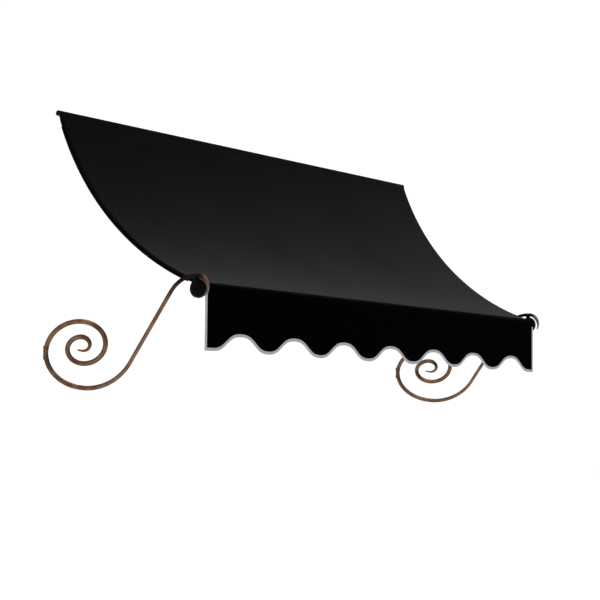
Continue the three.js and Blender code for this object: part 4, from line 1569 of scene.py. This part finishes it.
@dataclass
class BarKnob:
    """The round knob that closes an end of the front bar, with a saddle for the arm's hook."""

    sweep: Sweep
    side: Side
    x: float
    width: float
    arm: ScrollArm
    radius: float = 29.5
    rim: float = 9.0
    dome: float = 9.0
    face: float = 11.5
    spigot: float = 42.0
    saddle: float = 6.0

    def build(self) -> None:
        """Makes the knob."""
        bar = self.sweep.bar
        end = self.width / 2
        inner, fit, r = end + 1.4, bar.radius - 2.1, self.radius
        profile = [(end - self.spigot, fit - 1.5), (end - self.spigot + 1.5, fit), (end, fit), (end, bar.radius - 0.3),
                   (end + 0.3, bar.radius), (inner, bar.radius), (inner, r - 1.5), (inner + 0.4, r - 0.5),
                   (inner + 1.4, r), (inner + self.rim, r)]
        turns = np.linspace(0, math.pi / 2, 14)[1:]
        profile += [(inner + self.rim + self.dome * math.sin(a), self.face + (r - self.face) * math.cos(a))
                    for a in turns]
        profile.append((inner + self.rim + self.dome, 0.1))
        corners, faces = turned(profile, 72)
        knob = make_mesh("knob", placed(corners, along_x(bar, self.side)), faces)
        y, top = bar.y + self.arm.bolt_y, bar.z + self.arm.hook
        boss = rounded_block((self.x - self.saddle, y - self.saddle, bar.z),
                             (self.x + self.saddle, y + self.saddle, top - 5.2), 0.8)
        groove = pin((self.x, y - 40, top), (self.x, y + 40, top), self.arm.strut_radius + 0.05, 40)
        bolt = pin((self.x, y, bar.z - 40), (self.x, y, top), 3.3)
        spot = pin((self.x, y, bar.z - 40), (self.x, y, bar.z - 24), 6.3)
        carved(knob, [boss], [groove, bolt, spot])
        finish_piece(knob, f"end_knob_{self.side.word}", KNOB_COAT.material(),
                     [f"bar_knob_{self.side.word}"])


# ---------------------------------------------------------------- fasteners


@dataclass(frozen=True)
class Thread:
    """A screw thread."""

    radius: float
    pitch: float
    depth: float

    def rings(self, start: float, end: float, taper: float, sides: int = 16, steps: int = 4) -> np.ndarray:
        """Returns the rings of a threaded shank along Z.

        Args:
            start: Where the thread starts.
            end: The end of the shank.
            taper: The length of its point.
            sides: Corners in each ring.
            steps: Rings in each turn of the thread.

        Returns:
            An array of rings by corners by 3.
        """
        count = max(4, round((end - start) / self.pitch * steps))
        heights = np.linspace(start, end, count + 1)
        angles = np.linspace(0, 2 * math.pi, sides, endpoint=False)
        phase = heights[:, None] / self.pitch - angles[None, :] / (2 * math.pi)
        ridge = np.abs((phase % 1) * 2 - 1)
        fade = np.clip((heights - start) / self.pitch, 0, 1)[:, None]
        radius = self.radius - self.depth * ridge * fade
        narrow = np.clip((end - heights) / taper, 0.06, 1)[:, None] if taper > 0 else 1.0
        radius = radius * narrow
        z = np.broadcast_to(heights[:, None], radius.shape)
        return np.stack((radius * np.cos(angles), radius * np.sin(angles), z), axis=2)


def ring_of(height: float, radius: float, sides: int) -> np.ndarray:
    """Returns one flat ring about Z."""
    angles = np.linspace(0, 2 * math.pi, sides, endpoint=False)
    return np.stack((radius * np.cos(angles), radius * np.sin(angles), np.full(sides, height)), axis=1)


@dataclass
class PanScrew:
    """A pan-head screw with a cross recess, its head's underside at z = 0 and its point along +Z."""

    length: float = 12.0
    radius: float = 2.4
    head: float = 4.8
    head_high: float = 3.0
    taper: float = 5.0
    sides: int = 16

    def model(self) -> bpy.types.Object:
        """Makes the screw to be copied."""
        h, r = self.head_high, self.head
        heads = [(-h, r * 0.35), (-h + 0.1, r * 0.6), (-h + 0.5, r * 0.82), (-h + 1.2, r * 0.95), (-h + 2.0, r),
                 (-0.25, r), (0, r - 0.25), (0, self.radius)]
        rings = [ring_of(z, radius, self.sides) for z, radius in heads]
        shank = Thread(self.radius, 1.8, 0.55).rings(0.8, self.length, self.taper, self.sides)
        screw = make_mesh("screw", *loft(np.concatenate((np.array(rings), shank))))
        arms = [rounded_block((-a, -b, -h - 1), (a, b, -h + 1.6), 0) for a, b in ((2.3, 0.55), (0.55, 2.3))]
        return carved(screw, remove=arms)


@dataclass
class HexBolt:
    """A hexagon bolt, its head's underside at z = 0 and its end along +Z."""

    length: float = 60.0
    radius: float = 3.0
    head: float = 5.6
    head_high: float = 4.0

    def model(self) -> bpy.types.Object:
        """Makes the bolt to be copied."""
        rings = []
        for z, flat in ((-self.head_high, 0.86), (-self.head_high + 0.5, 0.98), (-0.3, 1.0), (0.0, 0.97)):
            angles = np.linspace(0, 2 * math.pi, 24, endpoint=False)
            hexagon = math.cos(math.pi / 6) / np.cos((angles % (math.pi / 3)) - math.pi / 6)
            radius = np.minimum(hexagon * self.head, self.head * flat) if flat < 0.99 else hexagon * self.head
            rings.append(np.stack((radius * np.cos(angles), radius * np.sin(angles), np.full(24, z)), axis=1))
        rings.append(ring_of(0, self.radius, 24))
        shank = Thread(self.radius, 1.0, 0.35).rings(self.length - 16, self.length - 0.6, 0, 24, 5)
        rings.append(ring_of(self.length - 16.2, self.radius, 24))
        end = [ring_of(self.length, self.radius * 0.8, 24)]
        return make_mesh("bolt", *loft(np.concatenate((np.array(rings), shank, np.array(end)))))


@dataclass
class Fasteners:
    """Every screw and bolt of the awning, each kind as one piece."""

    def put(self, name: str, kind: PanScrew | HexBolt, nodes: list[str], axis: int, turn: float) -> None:
        """Puts a copy of a fastener at each of its CAD nodes.

        Args:
            name: The new piece's name.
            kind: The fastener, whose shank is made as long as the first node's.
            nodes: The CAD nodes that it stands for.
            axis: The axis that its point looks along, 1 or 2.
            turn: The most that it is turned at random, in radians.
        """
        low, high = node_box(nodes[0])
        kind.length = float(high[axis] - low[axis]) - kind.head_high
        model = kind.model()
        places = []
        for node in nodes:
            low, high = node_box(node)
            place = (low + high) / 2
            place[axis] = low[axis] + kind.head_high
            places.append(place)
        along = np.eye(3)[axis]
        host = host_mesh(name, [(np.array(places), np.tile(along, (len(places), 1)))], joined=False)
        run_tree(host, fastener_tree(), {"Fastener": model, "Turn": turn, "Material": ZINC_COAT.material()})
        bpy.data.objects.remove(model)
        finish_piece(host, name, ZINC_COAT.material(), nodes)

    def build(self) -> None:
        """Makes all the fasteners."""
        places = ("left", "middle", "right")
        self.put("bracket_screws", PanScrew(), [f"bracket_screw_{place}_{letter}" for place in places
                                                for letter in "ab"], 1, 1.5)
        self.put("rod_screws", PanScrew(head=4.5, head_high=2.6, taper=1.5),
                 [f"rod_screw_{place}" for place in places], 2, 1.5)
        self.put("arm_screws", PanScrew(), [f"arm_screw_{side.word}_{height}" for side in Side
                                            for height in ("lower", "upper")], 1, 1.5)
        self.put("arm_bolts", HexBolt(), [f"arm_bolt_{side.word}" for side in Side], 2, 0.5)


# ---------------------------------------------------------------- studio


@dataclass(frozen=True)
class Studio:
    """A plain white room with one large soft light above and behind, and the camera."""

    camera_at: tuple[float, float, float] = (-5.5594, -4.0616, -0.9852)
    yaw: float = 55.567
    pitch: float = 3.977
    roll: float = 0.507
    lens: float = 112.42
    floor_z: float = -1.6
    floor_size: float = 60.0
    world: float = 1.06

    def camera(self) -> None:
        """Places the camera."""
        yaw, pitch, roll = (math.radians(a) for a in (self.yaw, self.pitch, self.roll))
        ahead = Vector((math.sin(yaw) * math.cos(pitch), math.cos(yaw) * math.cos(pitch), math.sin(pitch)))
        right = Vector((math.cos(yaw), -math.sin(yaw), 0))
        up = right.cross(ahead)
        turned_right = right * math.cos(roll) + up * math.sin(roll)
        turned_up = up * math.cos(roll) - right * math.sin(roll)
        axes = Matrix((turned_right, turned_up, -ahead)).transposed()
        data = bpy.data.cameras.new("camera")
        data.lens = self.lens
        data.sensor_width = 36
        data.clip_end = 200
        camera = bpy.data.objects.new("camera", data)
        camera.matrix_world = Matrix.Translation(self.camera_at) @ axes.to_4x4()
        bpy.context.scene.collection.objects.link(camera)
        bpy.context.scene.camera = camera

    def light(self, name: str, at: tuple[float, float, float], aim: tuple[float, float, float], size: float,
              power: float) -> None:
        """Adds a square soft light that looks at a point.

        Args:
            name: The light's name.
            at: Where it stands, in metres.
            aim: The point it looks at.
            size: The length of its side.
            power: Its power in watts.
        """
        data = bpy.data.lights.new(name, "AREA")
        data.size = size
        data.energy = power
        lamp = bpy.data.objects.new(name, data)
        lamp.location = at
        lamp.rotation_euler = (Vector(aim) - Vector(at)).to_track_quat("-Z", "Y").to_euler()
        bpy.context.scene.collection.objects.link(lamp)

    def build(self) -> None:
        """Makes the floor, the world, the lights and the camera."""
        self.camera()
        scene = bpy.context.scene
        scene.view_settings.view_transform = "Standard"
        world = bpy.data.worlds.new("studio")
        scene.world = world
        world.use_nodes = True
        world.node_tree.nodes.clear()
        sky = add_node(world.node_tree, "ShaderNodeBackground", inputs={
            "Color": (1.0, 1.0, 1.0, 1.0), "Strength": self.world})
        add_node(world.node_tree, "ShaderNodeOutputWorld", inputs={"Surface": sky.outputs["Background"]})
        half = self.floor_size / 2 / MM
        z = self.floor_z / MM
        floor = make_mesh("floor", np.array([(-half, -half, z), (half, -half, z), (half, half, z), (-half, half, z)]),
                          [(0, 1, 2, 3)], outward=False)
        floor.data.materials.append(FLOOR_PAINT.material())
        self.light("back_light", (0.5, 2.5, 4.5), (0, -0.4, -0.3), 3.0, 400.0)
        self.light("top_light", (0.4, -0.7, 3.6), (0, -0.4, -0.3), 2.0, 300.0)


# ---------------------------------------------------------------- assembly


def main() -> None:
    """Builds the awning piece by piece."""
    logging.basicConfig(level=logging.INFO, format="%(name)s %(message)s")
    low, high = node_box("canopy_cover")
    width = round(float(high[0] - low[0]), 2)
    sweep = Sweep(Tube.of_node("head_rod"), Tube.of_node("front_bar"))
    middle_x = {node: float((node_box(node)[0][0] + node_box(node)[1][0]) / 2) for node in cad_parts}
    rib_xs = {place: middle_x[f"rib_{place}"] for place in ("left", "middle_left", "middle_right", "right")}
    bracket_xs = {place: middle_x[f"head_bracket_{place}"] for place in ("left", "middle", "right")}

    Studio().build()
    Cover(sweep, width, list(rib_xs.values()), list(bracket_xs.values())).build()
    Valance(sweep, width, float(node_box("valance_binding")[0][2])).build()
    Frame(sweep, width, rib_xs).build()
    for place, x in bracket_xs.items():
        HeadBracket(sweep, place, x).build()
    for side in Side:
        x = middle_x[f"scroll_arm_{side.word}"]
        arm = ScrollArm(sweep, side, x)
        arm.build()
        BarKnob(sweep, side, x, width, arm).build()
    Fasteners().build()


if __name__ == "__main__":
    main()
